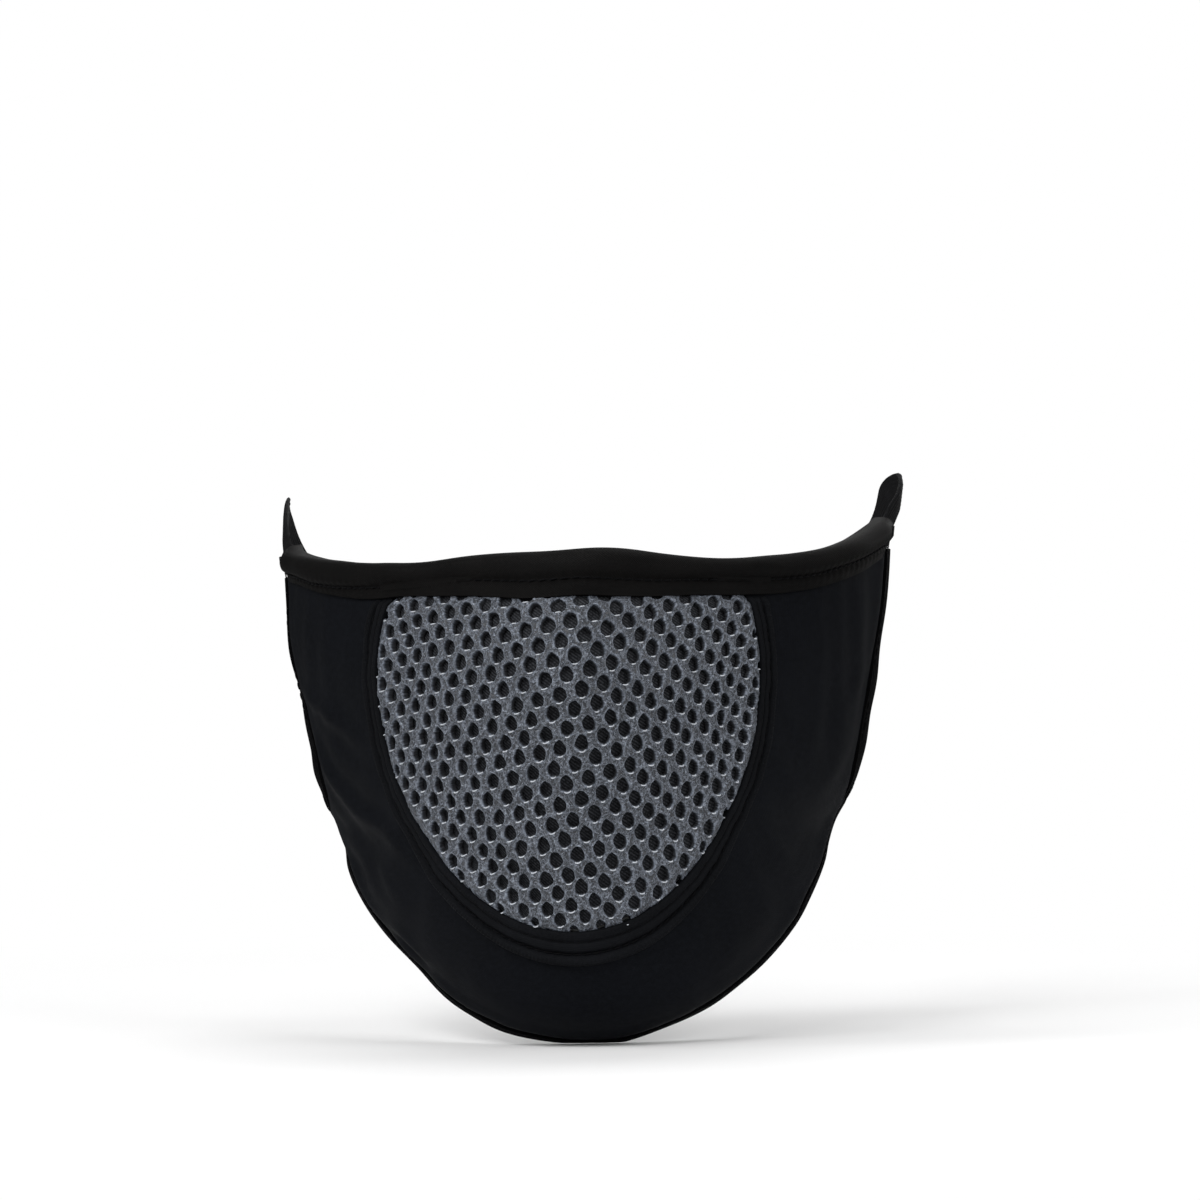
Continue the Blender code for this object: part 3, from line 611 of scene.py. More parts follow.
class Tubes:
    """Threads gathered into one mesh."""

    def __init__(self, sides=6):
        self.v, self.f, self.uv, self.n, self.sides = [], [], [], 0, sides

    def add(self, points, radius, up=None):
        p = np.asarray(points, float)
        m, s = len(p), self.sides
        t = unit(np.gradient(p, axis=0))
        if up is None:
            up = np.array([0.0, -1.0, 0.2])
        up = np.broadcast_to(up, p.shape)
        x = unit(np.cross(t, up))
        y = np.cross(x, t)
        r = np.broadcast_to(np.asarray(radius, float), (m,))
        ang = np.arange(s) * 2 * np.pi / s
        ring = p[:, None] + r[:, None, None] * (
            x[:, None] * np.cos(ang)[None, :, None] + y[:, None] * np.sin(ang)[None, :, None]
        )
        self.v.append(ring.reshape(-1, 3))
        along = np.concatenate([[0], np.cumsum(np.linalg.norm(np.diff(p, axis=0), axis=1))])
        self.uv.append(
            np.stack(np.broadcast_arrays(along[:, None], (ang * 0.25)[None, :]), -1).reshape(-1, 2)
        )
        idx = self.n + np.arange(m * s).reshape(m, s)
        nxt = np.roll(idx, -1, axis=1)
        self.f += np.stack([idx[:-1], nxt[:-1], nxt[1:], idx[1:]], -1).reshape(-1, 4).tolist()
        self.f += [idx[0, ::-1].tolist(), idx[-1].tolist()]
        self.n += m * s

    def place(self, name, material, body="mask"):
        return place(name, np.concatenate(self.v), self.f, np.concatenate(self.uv), material, body, 80.0)


def stitched(tubes, path, normals, pitch, length, radius, slant=0.0, dip=0.3):
    """A row of separate stitches along a path: each dips into the cloth at its two ends."""
    step = np.concatenate([[0], np.cumsum(np.linalg.norm(np.diff(path, axis=0), axis=1))])
    n = unit(normals)
    count = int(step[-1] // pitch)
    first = (step[-1] - count * pitch) / 2.0
    shape = np.array([-1.0, -0.72, -0.3, 0.3, 0.72, 1.0])
    for k in range(count):
        s = first + (k + 0.5) * pitch + shape * length / 2.0
        p = np.stack([np.interp(s, step, path[:, i]) for i in range(3)], 1)
        m = np.stack([np.interp(s, step, n[:, i]) for i in range(3)], 1)
        t = unit(p[-1] - p[0])
        across = unit(np.cross(m, t[None]))
        lift = -dip * np.abs(shape) ** 4
        p = p + m * lift[:, None] + across * (slant * shape)[:, None]
        tubes.add(p, radius * np.array([0.7, 0.95, 1.0, 1.0, 0.95, 0.7]), m)


# ------------------------------------------------------------------ a small shader language
class Val:
    def __init__(self, tree, socket):
        self.tree, self.socket = tree, socket

    def __add__(self, o):
        return op("ADD", self, o)

    __radd__ = __add__

    def __sub__(self, o):
        return op("SUBTRACT", self, o)

    def __rsub__(self, o):
        return op("SUBTRACT", o, self)

    def __mul__(self, o):
        return op("MULTIPLY", self, o)

    __rmul__ = __mul__

    def __truediv__(self, o):
        return op("DIVIDE", self, o)

    def __pow__(self, o):
        return op("POWER", self, o)


def put(tree, socket, value):
    if isinstance(value, Val):
        tree.links.new(value.socket, socket)
    elif isinstance(value, (tuple, list)):
        socket.default_value = (*value, 1.0) if len(value) == 3 and len(socket.default_value) == 4 else value
    else:
        socket.default_value = value


def op(kind, *args, clamp=False):
    tree = next(a.tree for a in args if isinstance(a, Val))
    node = tree.nodes.new("ShaderNodeMath")
    node.operation, node.use_clamp = kind, clamp
    for i, a in enumerate(args):
        put(tree, node.inputs[i], a)
    return Val(tree, node.outputs[0])


def sin(a):
    return op("SINE", a)


def absolute(a):
    return op("ABSOLUTE", a)


def fract(a):
    return op("FRACT", a)


def pingpong(a, k):
    return op("PINGPONG", a, k)


def smooth(a, low, high):
    node = a.tree.nodes.new("ShaderNodeMapRange")
    node.interpolation_type = "SMOOTHSTEP"
    put(a.tree, node.inputs["Value"], a)
    put(a.tree, node.inputs["From Min"], low)
    put(a.tree, node.inputs["From Max"], high)
    return Val(a.tree, node.outputs["Result"])


def blendf(f, a, b):
    return a + (b - a) * f if isinstance(a, Val) or isinstance(b, Val) else f * (b - a) + a


def tint(f, a, b):
    """Colour between a and b."""
    node = f.tree.nodes.new("ShaderNodeMix")
    node.data_type = "RGBA"
    node.clamp_factor = True
    put(f.tree, node.inputs["Factor"], f)
    put(f.tree, node.inputs["A"] if False else node.inputs[6], a)
    put(f.tree, node.inputs[7], b)
    return Val(f.tree, node.outputs[2])


class Cloth:
    """A material in progress: x and y are cloth coordinates in mm."""

    def __init__(self, name):
        self.mat = bpy.data.materials.new(name)
        self.mat.use_nodes = True
        self.tree = self.mat.node_tree
        self.shader = self.tree.nodes["Principled BSDF"]
        uv = self.tree.nodes.new("ShaderNodeUVMap")
        uv.uv_map = "cloth"
        split = self.tree.nodes.new("ShaderNodeSeparateXYZ")
        self.tree.links.new(uv.outputs[0], split.inputs[0])
        self.vec = Val(self.tree, uv.outputs[0])
        self.x, self.y = Val(self.tree, split.outputs[0]), Val(self.tree, split.outputs[1])

    def xy(self, x, y, z=0.0):
        node = self.tree.nodes.new("ShaderNodeCombineXYZ")
        for i, k in enumerate((x, y, z)):
            put(self.tree, node.inputs[i], k)
        return Val(self.tree, node.outputs[0])

    def noise(self, size, detail=2.0, rough=0.5, vec=None, seed=0.0):
        """Noise whose features are about size mm; 0..1."""
        node = self.tree.nodes.new("ShaderNodeTexNoise")
        node.noise_dimensions = "4D" if seed else "3D"
        put(self.tree, node.inputs["Vector"], vec or self.vec)
        node.inputs["Scale"].default_value = 1.0 / size
        node.inputs["Detail"].default_value = detail
        node.inputs["Roughness"].default_value = rough
        if seed:
            node.inputs["W"].default_value = seed
        return Val(self.tree, node.outputs[0])

    def cells(self, size, vec=None, feature="F1", jitter=1.0):
        node = self.tree.nodes.new("ShaderNodeTexVoronoi")
        node.feature = feature
        put(self.tree, node.inputs["Vector"], vec or self.vec)
        node.inputs["Scale"].default_value = 1.0 / size
        node.inputs["Randomness"].default_value = jitter
        return Val(self.tree, node.outputs["Distance"])

    def attribute(self, name):
        node = self.tree.nodes.new("ShaderNodeAttribute")
        node.attribute_name = name
        return Val(self.tree, node.outputs["Fac"])

    def done(self, colour, rough, height=None, depth=0.1, spec=0.12, sheen=0.0, sheen_rough=0.4,
             sheen_tint=(1, 1, 1), metallic=0.0, strength=1.0):
        put(self.tree, self.shader.inputs["Base Color"], colour)
        put(self.tree, self.shader.inputs["Roughness"], rough)
        self.shader.inputs["Specular IOR Level"].default_value = spec
        self.shader.inputs["Sheen Weight"].default_value = sheen
        self.shader.inputs["Sheen Roughness"].default_value = sheen_rough
        self.shader.inputs["Sheen Tint"].default_value = (*sheen_tint, 1.0)
        self.shader.inputs["Metallic"].default_value = metallic
        if height is not None:
            bump = self.tree.nodes.new("ShaderNodeBump")
            bump.inputs["Distance"].default_value = depth * MM
            bump.inputs["Strength"].default_value = strength
            put(self.tree, bump.inputs["Height"], height)
            self.tree.links.new(bump.outputs[0], self.shader.inputs["Normal"])
        return self.mat


def jersey(m, wale=0.9, course=0.7, x=None, y=None):
    """Knit stitches: columns of small Vs; 0..1."""
    x, y = x or m.x, y or m.y
    side = absolute(fract(x / wale) - 0.5) * 2.0
    legs = 1.0 - (side * 2.0 - 1.0) ** 2.0
    rows = absolute(sin((y / course + side * 0.55) * math.pi))
    return op("MULTIPLY", legs * 0.6 + 0.4, rows)


def herringbone(m, pitch=0.75, band=2.4):
    zig = pingpong(m.y, band)
    return sin((m.x + zig) / pitch * (2 * math.pi)) * 0.5 + 0.5


# ------------------------------------------------------------------ materials
def make_shell():
    m = Cloth("knit_black_blue")
    knit = jersey(m, 0.62, 0.5)
    mottle, fine, lint = m.noise(26.0, 3.0), m.noise(1.3, 2.0), m.noise(0.34, 1.0, seed=3.0)
    colour = tint(smooth(mottle, 0.35, 0.7), (0.0038, 0.0043, 0.0056), (0.0051, 0.0057, 0.0074))
    colour = tint(smooth(fine, 0.3, 0.8) * 0.5, colour, (0.0075, 0.0086, 0.0112))
    colour = tint(smooth(lint, 0.74, 0.84) * 0.30, colour, (0.040, 0.044, 0.052))
    colour = tint((1.0 - knit) * 0.45, colour, (0.0015, 0.0016, 0.0020))
    rough = smooth(mottle, 0.2, 0.8) * 0.1 + 0.60
    return m.done(colour, rough, knit * 0.7 + fine * 0.6, 0.05, spec=0.022)


def make_lining():
    m = Cloth("lining_knit_dark")
    knit = jersey(m, 0.8, 0.62)
    mottle, fine = m.noise(18.0, 3.0), m.noise(1.1, 2.0)
    colour = tint(smooth(mottle, 0.3, 0.7), (0.026, 0.027, 0.030), (0.038, 0.040, 0.044))
    colour = tint((1.0 - knit) * 0.5, colour, (0.010, 0.010, 0.012))
    return m.done(colour, 0.85, knit + fine * 0.5, 0.08, spec=0.05, sheen=0.02)


def make_mesh():
    m = Cloth("air_mesh_grey")
    hole_wall_shade, rim, web = m.attribute("hole_wall_shade"), m.attribute("rim"), m.attribute("web")
    dx, dy = m.noise(1.1, 1.0, seed=5.0) - 0.5, m.noise(1.1, 1.0, seed=9.0) - 0.5
    x, y = m.x + dx * 0.9, m.y + dy * 0.9

    def strands(size, seed, width):
        n = m.noise(size, 0.0, vec=m.xy(x, y * 0.8), seed=seed)
        return 1.0 - smooth(absolute(n - 0.5), 0.0, width)

    strand = op("MAXIMUM", strands(0.85, 2.0, 0.085), op("MAXIMUM", strands(0.72, 4.0, 0.075) * 0.9, strands(1.0, 7.0, 0.075) * 0.85))
    fleck = smooth(m.noise(0.42, 1.0, seed=6.0), 0.50, 0.66)
    pits = 1.0 - smooth(m.cells(0.62, m.xy(x, y * 1.15)), 0.10, 0.30)
    gap = op("MAXIMUM", (1.0 - strand) * (web * 0.35 + 0.45), pits * (web * 0.6 + 0.25), clamp=True)
    patch = m.noise(11.0, 2.0)
    colour = tint(smooth(patch, 0.3, 0.75), (0.047, 0.054, 0.069), (0.062, 0.071, 0.089))
    colour = tint(strand * (fleck * 0.7 + 0.3) * 0.85, colour, (0.315, 0.355, 0.425))
    colour = tint(rim * (strand * 0.6 + 0.4) * 0.42, colour, (0.26, 0.295, 0.36))
    colour = tint(gap * (1.0 - rim * 0.65), colour, (0.0085, 0.0095, 0.012))
    # the hole walls, where they sink into each hole, are painted near-black: painted shade in the recess
    colour = tint(hole_wall_shade, colour, (0.0150, 0.0160, 0.0190))
    rough = hole_wall_shade * 0.45 + 0.38
    height = strand * 0.9 + fleck * 0.3 - gap * 0.7 + rim * 0.3
    return m.done(colour, rough, height, 0.20, spec=0.55, sheen=0.0)


# Yarn across each hole's foot: its own grey, lifted far above the other yarn as a painted highlight where it catches
# the light.
def make_foot_yarn_glint():
    m = Cloth("air_mesh_foot_yarn_glint")
    twist = sin((m.x + m.y) / 0.16 * math.pi) * 0.5 + 0.5
    colour = tint(twist * 0.4 + m.noise(0.5) * 0.3, (0.62, 0.65, 0.70), (0.36, 0.385, 0.42))
    return m.done(colour, 0.38, twist, 0.03, spec=0.5)


def make_backing():
    m = Cloth("backing_knit_black")
    rib = sin((m.x * 0.8 + m.y) / 0.42 * math.pi) * 0.5 + 0.5
    broken = rib * smooth(m.noise(0.5, 1.0), 0.3, 0.6)
    colour = tint(broken, (0.0160, 0.0168, 0.0190), (0.0620, 0.0660, 0.0740))
    return m.done(colour, 0.8, broken, 0.08, spec=0.06)


def make_felt():
    m = Cloth("filter_felt_white")
    fibre, cloud = m.noise(0.4, 3.0, 0.65), m.noise(6.0, 2.0)
    colour = tint(fibre * 0.6 + cloud * 0.4, (0.60, 0.60, 0.58), (0.80, 0.80, 0.78))
    return m.done(colour, 0.9, fibre, 0.1)


def make_tape():
    m = Cloth("seam_tape_knit")
    knit = jersey(m, 0.55, 0.5)
    fine, mottle = m.noise(0.8, 2.0), m.noise(14.0, 2.0)
    colour = tint(smooth(mottle, 0.3, 0.7), (0.0044, 0.0048, 0.0058), (0.0060, 0.0065, 0.0080))
    colour = tint(smooth(fine, 0.35, 0.8) * 0.5, colour, (0.0085, 0.0092, 0.0108))
    colour = tint((1.0 - knit) * 0.5, colour, (0.0014, 0.0015, 0.0018))
    return m.done(colour, 0.62, knit * 0.8 + fine * 0.5, 0.07, spec=0.03)


def make_twill():
    m = Cloth("binding_twill_black")
    weave = herringbone(m, 0.62, 2.2)
    fine, mottle = m.noise(0.5, 2.0), m.noise(12.0, 2.0)
    colour = tint(smooth(mottle, 0.3, 0.7), (0.0022, 0.0021, 0.0021), (0.0033, 0.0031, 0.0030))
    colour = tint(weave * 0.45 * smooth(fine, 0.2, 0.7), colour, (0.0090, 0.0084, 0.0082))
    return m.done(colour, 0.58, weave * 0.8 + fine * 0.5, 0.07, spec=0.03)


def make_hem():
    m = Cloth("hem_binding_black")
    weave = herringbone(m, 0.6, 1.6)
    fine = m.noise(0.5, 2.0)
    colour = tint(weave * 0.5, (0.0014, 0.0014, 0.0016), (0.0034, 0.0035, 0.0040))
    return m.done(colour, 0.7, weave * 0.8 + fine * 0.5, 0.06, spec=0.015)


def make_thread():
    m = Cloth("thread_black")
    twist = sin((m.x * 1.0 + m.y * 1.6) / 0.2 * math.pi) * 0.5 + 0.5
    colour = tint(twist, (0.0016, 0.0016, 0.0019), (0.0060, 0.0062, 0.0070))
    return m.done(colour, 0.55, twist, 0.04, spec=0.04)


def make_elastic():
    m = Cloth("elastic_black")
    picks = absolute(sin((m.x / 0.62 + fract(m.y / 1.1) * 0.35) * math.pi))
    ribs = sin(m.y / 1.1 * 2 * math.pi) * 0.5 + 0.5
    fine, mottle = m.noise(0.4, 2.0), m.noise(9.0, 2.0)
    colour = tint(picks * 0.5 + fine * 0.3, (0.0038, 0.0038, 0.0041), (0.0125, 0.0125, 0.0135))
    colour = tint((1.0 - ribs) * 0.4, colour, (0.0022, 0.0022, 0.0024))
    colour = tint(smooth(mottle, 0.55, 0.8) * 0.35, colour, (0.016, 0.016, 0.018))
    return m.done(colour, 0.6, picks * 0.7 + ribs * 0.5 + fine * 0.3, 0.06, spec=0.04)


def make_wire():
    m = Cloth("nose_wire_metal")
    geometry = m.tree.nodes.new("ShaderNodeTexCoord")
    vec = Val(m.tree, geometry.outputs["Object"])
    brushed = m.noise(0.004, 2.0, vec=vec)
    colour = tint(brushed, (0.55, 0.56, 0.58), (0.74, 0.75, 0.77))
    return m.done(colour, brushed * 0.2 + 0.3, brushed, 0.02, spec=0.5, metallic=1.0)


SHELL_M, LINING_M, MESH_M, FOOT_YARN_GLINT_M = make_shell(), make_lining(), make_mesh(), make_foot_yarn_glint()
BACKING_M, FELT_M, TAPE_M, TWILL_M = make_backing(), make_felt(), make_tape(), make_twill()
HEM_M, THREAD_M, ELASTIC_M, WIRE_M = make_hem(), make_thread(), make_elastic(), make_wire()


def stand_in(obj, slot, *nodes):
    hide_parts(*nodes)
    return obj


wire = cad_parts["nose_wire"]
wire.data.materials.clear()
wire.data.materials.append(WIRE_M)

# ------------------------------------------------------------------ pieces common with the frame
def curved(rows, share, smoothness=1.0):
    """A section's point and outward normal at a share of its length, rounded at its corners."""
    rows = np.array(rows, float)
    step = np.concatenate([[0], np.cumsum(np.linalg.norm(np.diff(rows, axis=0), axis=1))])
    table = np.column_stack([step / step[-1], rows])
    at = through(table, share)
    e = 2e-3
    t = unit(through(table, np.clip(share + e, 0, 1)) - through(table, np.clip(share - e, 0, 1)))
    return at, np.stack([t[:, 1], -t[:, 0]], axis=1)


def tape_width(t):
    return SEAM_SIDE_WIDTH + (SEAM_CHIN_WIDTH - SEAM_SIDE_WIDTH) * np.exp(-((t / 0.34) ** 2))


def wobble(x, seed, size, high):
    """A gentle irregular wave along x, in mm."""
    rng = np.random.default_rng(seed)
    made = np.zeros_like(x, float)
    for k in range(5):
        made = made + rng.uniform(0.4, 1.0) * np.sin(x * (2 * np.pi / size) * rng.uniform(0.5, 1.8) + rng.uniform(0, 6.28))
    return made * high / 2.0


# Top binding along the mask: u, top edge over the edge line, stitched groove, lower edge, in mm.
TOP_LINE = (
    (-1.10, -0.2, -5.6, -8.2),
    (-1.00, 0.1, -5.2, -7.6),
    (-0.83, 0.8, -4.1, -6.0),
    (-0.654, 2.5, -3.6, -5.6),
    (-0.518, 2.8, -3.6, -6.4),
    (-0.454, 2.5, -3.7, -6.8),
    (-0.382, 2.0, -3.8, -7.0),
    (-0.276, 1.7, -4.4, -8.4),
    (-0.152, 1.2, -6.4, -10.6),
    (-0.04, 0.7, -8.0, -12.3),
    (0.06, 0.8, -8.0, -12.3),
    (0.146, 1.1, -7.1, -11.1),
    (0.262, 0.7, -5.9, -9.7),
    (0.372, 0.9, -5.0, -8.9),
    (0.464, 1.5, -4.6, -8.3),
    (0.552, 1.7, -4.3, -7.6),
    (0.696, 0.9, -4.2, -7.4),
    (0.816, 0.8, -4.4, -7.3),
    (1.00, 0.2, -5.2, -7.8),
    (1.10, -0.2, -5.6, -8.2),
)


TOP_U = np.linspace(-1.1, 1.1, 221)
TOP_TABLE = through(np.array(TOP_LINE), TOP_U)


def top_line(u):
    return [np.interp(u, TOP_U, TOP_TABLE[:, k]) for k in range(3)]


def top_shift(u, h):
    """Height of a point of the top binding's plain section once the binding follows its own line."""
    rise, groove, foot = top_line(u)
    knots = np.array([-8.8, -5.9, 0.7])
    a = (h - knots[0]) / (knots[1] - knots[0])
    b = (h - knots[1]) / (knots[2] - knots[1])
    return np.where(h < knots[1], foot + (groove - foot) * a, groove + (rise - groove) * b)


END_FLAT = 1.1


def top_depth(u, h):
    """Outer face of the top binding at height h on its front."""
    rise, groove, foot = top_line(u)
    low = -8.8 + (h - foot) / (groove - foot) * 2.9
    high = -5.9 + (h - groove) / (rise - groove) * 6.6
    plain_h = np.where(h < groove, low, high)
    section = np.array(TOP_SECTION[4:], float)[::-1]
    d = np.interp(plain_h, section[:, 1], section[:, 0]) + BINDING_THICK / 2
    return d - END_FLAT * ease((np.abs(u) - 0.90) / 0.09)


# ------------------------------------------------------------------ the knit shell
def shell_uv(a, b):
    t = 2.0 * a - 1.0
    iu, iv = seam(t, SEAM_GAP / 2)
    top = above_top(iu, -EDGE_CUT)
    iv = iv + (top - iv) * np.clip((np.abs(t) - 0.9) / 0.1, 0, 1) ** 4
    turn = 0.44
    side = np.clip((np.abs(t) - turn) / (1 - turn), 0, 1)
    ou0 = np.sign(t) * np.clip(np.abs(t) / turn, 0, 1) ** 0.85
    low, high = above_hem(ou0, EDGE_CUT), above_top(ou0, -EDGE_CUT)
    ov = low + (high - low) * side
    ou = ou0 * past_edge(ov, -EDGE_CUT)
    return ou + (iu - ou) * b, ov + (iv - ov) * b


def hem_height(u, v):
    """Distance over the hem line, in mm."""
    across, up, _ = slopes(u, np.zeros_like(u))
    return v * np.linalg.norm(np.cross(up, unit(across)), axis=1)


def side_depth(u, v):
    """Distance in from the side edge line, in mm."""
    across, up, _ = slopes(np.sign(u), v)
    return (1.0 - np.abs(u)) * np.linalg.norm(np.cross(across, unit(up)), axis=1)


def shell_at(a, b, c):
    u, v = shell_uv(a, b)
    h, s = hem_height(u, v), side_depth(u, v)
    roll = 1.15 * np.exp(-(((h - 5.2) / 3.0) ** 2)) + 0.9 * np.exp(-(((s - 8.5) / 4.0) ** 2)) * ease(v / 0.2)
    tuck = -0.5 * np.exp(-((h / 1.6) ** 2))
    grain = 0.025 * np.sin(u * 613.0 + v * 97.0) * np.sin(v * 431.0 - u * 71.0)
    d = SHELL[0] + (SHELL[1] - SHELL[0]) * c + (roll + tuck + grain) * c
    return lay(u, v, d)


shell = sheet("shell_cloth", 330, 60, shell_at, SHELL_M)
stand_in(shell, "shell_knit", "outer_shell")

# ------------------------------------------------------------------ lining, filter and backing
def layer_at(span, trim_u=0.0, trim_v=0.0, puff=0.0):
    def at(a, b, c):
        a = trim_u + a * (1 - 2 * trim_u)
        b = trim_v + b * (1 - 2 * trim_v)
        u0 = 2.0 * a - 1.0
        low, high = above_hem(u0, EDGE_CUT), above_top(u0, -EDGE_CUT)
        v = low + (high - low) * b
        d = span[0] + (span[1] - span[0]) * c
        d = d - (1 - c) * puff * (0.5 + 0.5 * np.sin(u0 * 37.0 + 2.0 * np.sin(v * 9.0)) * np.sin(v * 23.0))
        return lay(u0 * past_edge(v, -EDGE_CUT), v, d)

    return at


stand_in(sheet("lining_cloth", 200, 110, layer_at(LINING, puff=0.12), LINING_M), "lining_knit", "inner_lining")
stand_in(sheet("filter_felt", 90, 50, layer_at(FILTER, 2 / 24, 1 / 14), FELT_M), "filter_felt", "filter_layer")


def panel_at(inset, span):
    corner = 0.36

    def at(a, b, c):
        def point(t):
            return np.stack(seam(t, -inset), axis=1)

        lu, lv = seam(np.array([-1.0, 1.0]), -inset)
        top_u = lu[0] + (lu[1] - lu[0]) * a
        top = np.stack([top_u, above_top(top_u, -EDGE_CUT)], axis=1)
        foot = point(-corner + 2 * corner * a)
        left, right = point(-corner - (1 - corner) * b), point(corner + (1 - corner) * b)
        ends = [point(np.array([t])) for t in (-corner, corner, -1.0, 1.0)]
        ends[2] = np.stack([[lu[0]], above_top(lu[:1], -EDGE_CUT)], axis=1)
        ends[3] = np.stack([[lu[1]], above_top(lu[1:], -EDGE_CUT)], axis=1)
        left[:, 1] += (ends[2][0, 1] - lv[0]) * b**8
        right[:, 1] += (ends[3][0, 1] - lv[1]) * b**8
        a2, b2 = a[:, None], b[:, None]
        uv = (
            (1 - b2) * foot + b2 * top + (1 - a2) * left + a2 * right
            - (1 - a2) * (1 - b2) * ends[0] - a2 * (1 - b2) * ends[1]
            - (1 - a2) * b2 * ends[2] - a2 * b2 * ends[3]
        )
        return lay(uv[:, 0], uv[:, 1], span[0] + (span[1] - span[0]) * c)

    return at


stand_in(sheet("backing_cloth", 110, 110, panel_at(SEAM_GAP / 2, (BACKING[0], 3.0)), BACKING_M), "backing_knit", "mesh_backing")


# ------------------------------------------------------------------ the air mesh
class Fabric:
    """The mesh panel's own flat cloth coordinates p across and q up, in mm along its outer face."""

    def __init__(self):
        self.u = np.linspace(-0.9, 0.9, 181)
        self.z = np.linspace(12.0, 132.0, 121)
        vs = np.linspace(0.0, 1.16, 291)
        uu, vv = np.meshgrid(self.u, vs, indexing="ij")
        f = laid(uu.ravel(), vv.ravel(), MESH[1]).reshape(len(self.u), len(vs), 3)
        self.v = np.array([np.interp(self.z, f[i, :, 2], vs) for i in range(len(self.u))])
        uu = np.broadcast_to(self.u[:, None], self.v.shape)
        x = laid(uu.ravel(), self.v.ravel(), MESH[1]).reshape(*self.v.shape, 3)
        du = np.linalg.norm(np.diff(x, axis=0), axis=2)
        dz = np.linalg.norm(np.diff(x, axis=1), axis=2)
        self.p = np.concatenate([np.zeros((1, len(self.z))), np.cumsum(du, axis=0)])
        self.p -= self.p[len(self.u) // 2]
        self.q = np.concatenate([np.zeros((len(self.u), 1)), np.cumsum(dz, axis=1)], axis=1)
        k = np.argmin(np.abs(self.z - 75.0))
        self.q -= self.q[:, k : k + 1]

    def read(self, table, u, z):
        i = np.clip((u - self.u[0]) / (self.u[1] - self.u[0]), 0, len(self.u) - 1.001)
        j = np.clip((z - self.z[0]) / (self.z[1] - self.z[0]), 0, len(self.z) - 1.001)
        i0, j0 = i.astype(int), j.astype(int)
        a, b = i - i0, j - j0
        return (
            table[i0, j0] * (1 - a) * (1 - b) + table[i0 + 1, j0] * a * (1 - b)
            + table[i0, j0 + 1] * (1 - a) * b + table[i0 + 1, j0 + 1] * a * b
        )

    def to_face(self, p, q):
        """(u, v) on the face of cloth points p, q."""
        u, z = p / 75.0, q + 75.0
        for _ in range(14):
            e = 0.01
            slope = (self.read(self.p, u + e, z) - self.read(self.p, u - e, z)) / (2 * e)
            u = np.clip(u + (p - self.read(self.p, u, z)) / np.maximum(slope, 20.0), -0.88, 0.88)
            slope = (self.read(self.q, u, z + 1) - self.read(self.q, u, z - 1)) / 2
            z = np.clip(z + (q - self.read(self.q, u, z)) / np.maximum(slope, 0.3), 13.0, 131.0)
        return u, self.read(self.v, u, z)

    def from_face(self, u, v):
        z = laid(u, v, MESH[1])[:, 2]
        return self.read(self.p, u, z), self.read(self.q, u, z)


FAB = Fabric()
# The holes' lattice on the cloth, a little pulled out of square by the wearing: powers of the two
# lattice numbers, then p and q in mm.
PULL = (
    (0, 0, -0.839, -0.090),
    (0, 1, 1.8455, 4.7694),
    (0, 2, 0.0196, -0.0119),
    (0, 3, 0.00659, 0.00167),
    (0, 4, -0.000235, 0.000937),
    (1, 0, 5.3552, 1.2409),
    (1, 1, 0.0951, 0.0472),
    (1, 2, 0.00467, -0.00375),
    (1, 3, -0.00172, 0.00177),
    (2, 0, 0.00912, 0.0793),
    (2, 1, 0.00033, -0.00759),
    (2, 2, -0.0018, 0.00149),
    (3, 0, -0.00057, -0.00064),
    (3, 1, -0.00141, 0.00007),
    (4, 0, -0.00025, -0.00027),
)
V1, V3 = np.array([5.3552, 1.2409]), np.array([1.8455, 4.7694])


def lattice(ij):
    i, j = np.clip(ij[:, 0], -13, 12), np.clip(ij[:, 1], -12, 10)
    made = np.zeros((len(ij), 2))
    for a, b, p, q in PULL:
        made += (i**a * j**b)[:, None] * np.array([p, q])
    return made + (ij[:, :1] - i[:, None]) * V1 + (ij[:, 1:] - j[:, None]) * V3


def panel_outline():
    """Closed outline of the mesh panel in cloth coordinates: the seam, then the top under its binding."""
    su, sv = widened(SEAM_U, SEAM_V, np.full(len(SEAM_U), 0.35))
    keep = slice(0, None, 3)
    p, q = FAB.from_face(su[keep], sv[keep])
    tu = np.linspace(su[-1], su[0], 60)
    tp, tq = FAB.from_face(tu, above_top(tu, -3.4))
    return np.concatenate([np.stack([p, q], 1), np.stack([tp, tq], 1)[1:-1]]), len(p)


OUTLINE, SEAM_POINTS = panel_outline()


def to_outline(points, count=None):
    """Signed distance inside the outline (positive inside) and nearest point on it."""
    line = OUTLINE
    nxt = np.roll(line, -1, axis=0)
    best, near = np.full(len(points), 1e9), np.zeros_like(points)
    inside = np.zeros(len(points), bool)
    for n, (a, b) in enumerate(zip(line, nxt)):
        if count is not None and n >= count - 1:
            continue
        e = b - a
        t = np.clip(((points - a) @ e) / max(e @ e, 1e-12), 0, 1)
        c = a + t[:, None] * e
        d = np.hypot(*(points - c).T)
        closer = d < best
        best[closer], near[closer] = d[closer], c[closer]
    for a, b in zip(line, nxt):
        cross = (a[1] > points[:, 1]) != (b[1] > points[:, 1])
        at = a[0] + (points[:, 1] - a[1]) * (b[0] - a[0]) / (b[1] - a[1] + 1e-12)
        inside ^= cross & (points[:, 0] < at)
    return np.where(inside, best, -best), near


def hexagon():
    """Corners of one lattice cell round its hole."""
    ring = [V1, V3, V3 - V1, -V1, -V3, V1 - V3]
    made = []
    for k in range(6):
        a, b = ring[k], ring[(k + 1) % 6]
        m = np.array([a, b])
        made.append(np.linalg.solve(2 * m, (m * m).sum(1)))
    return np.array(made)


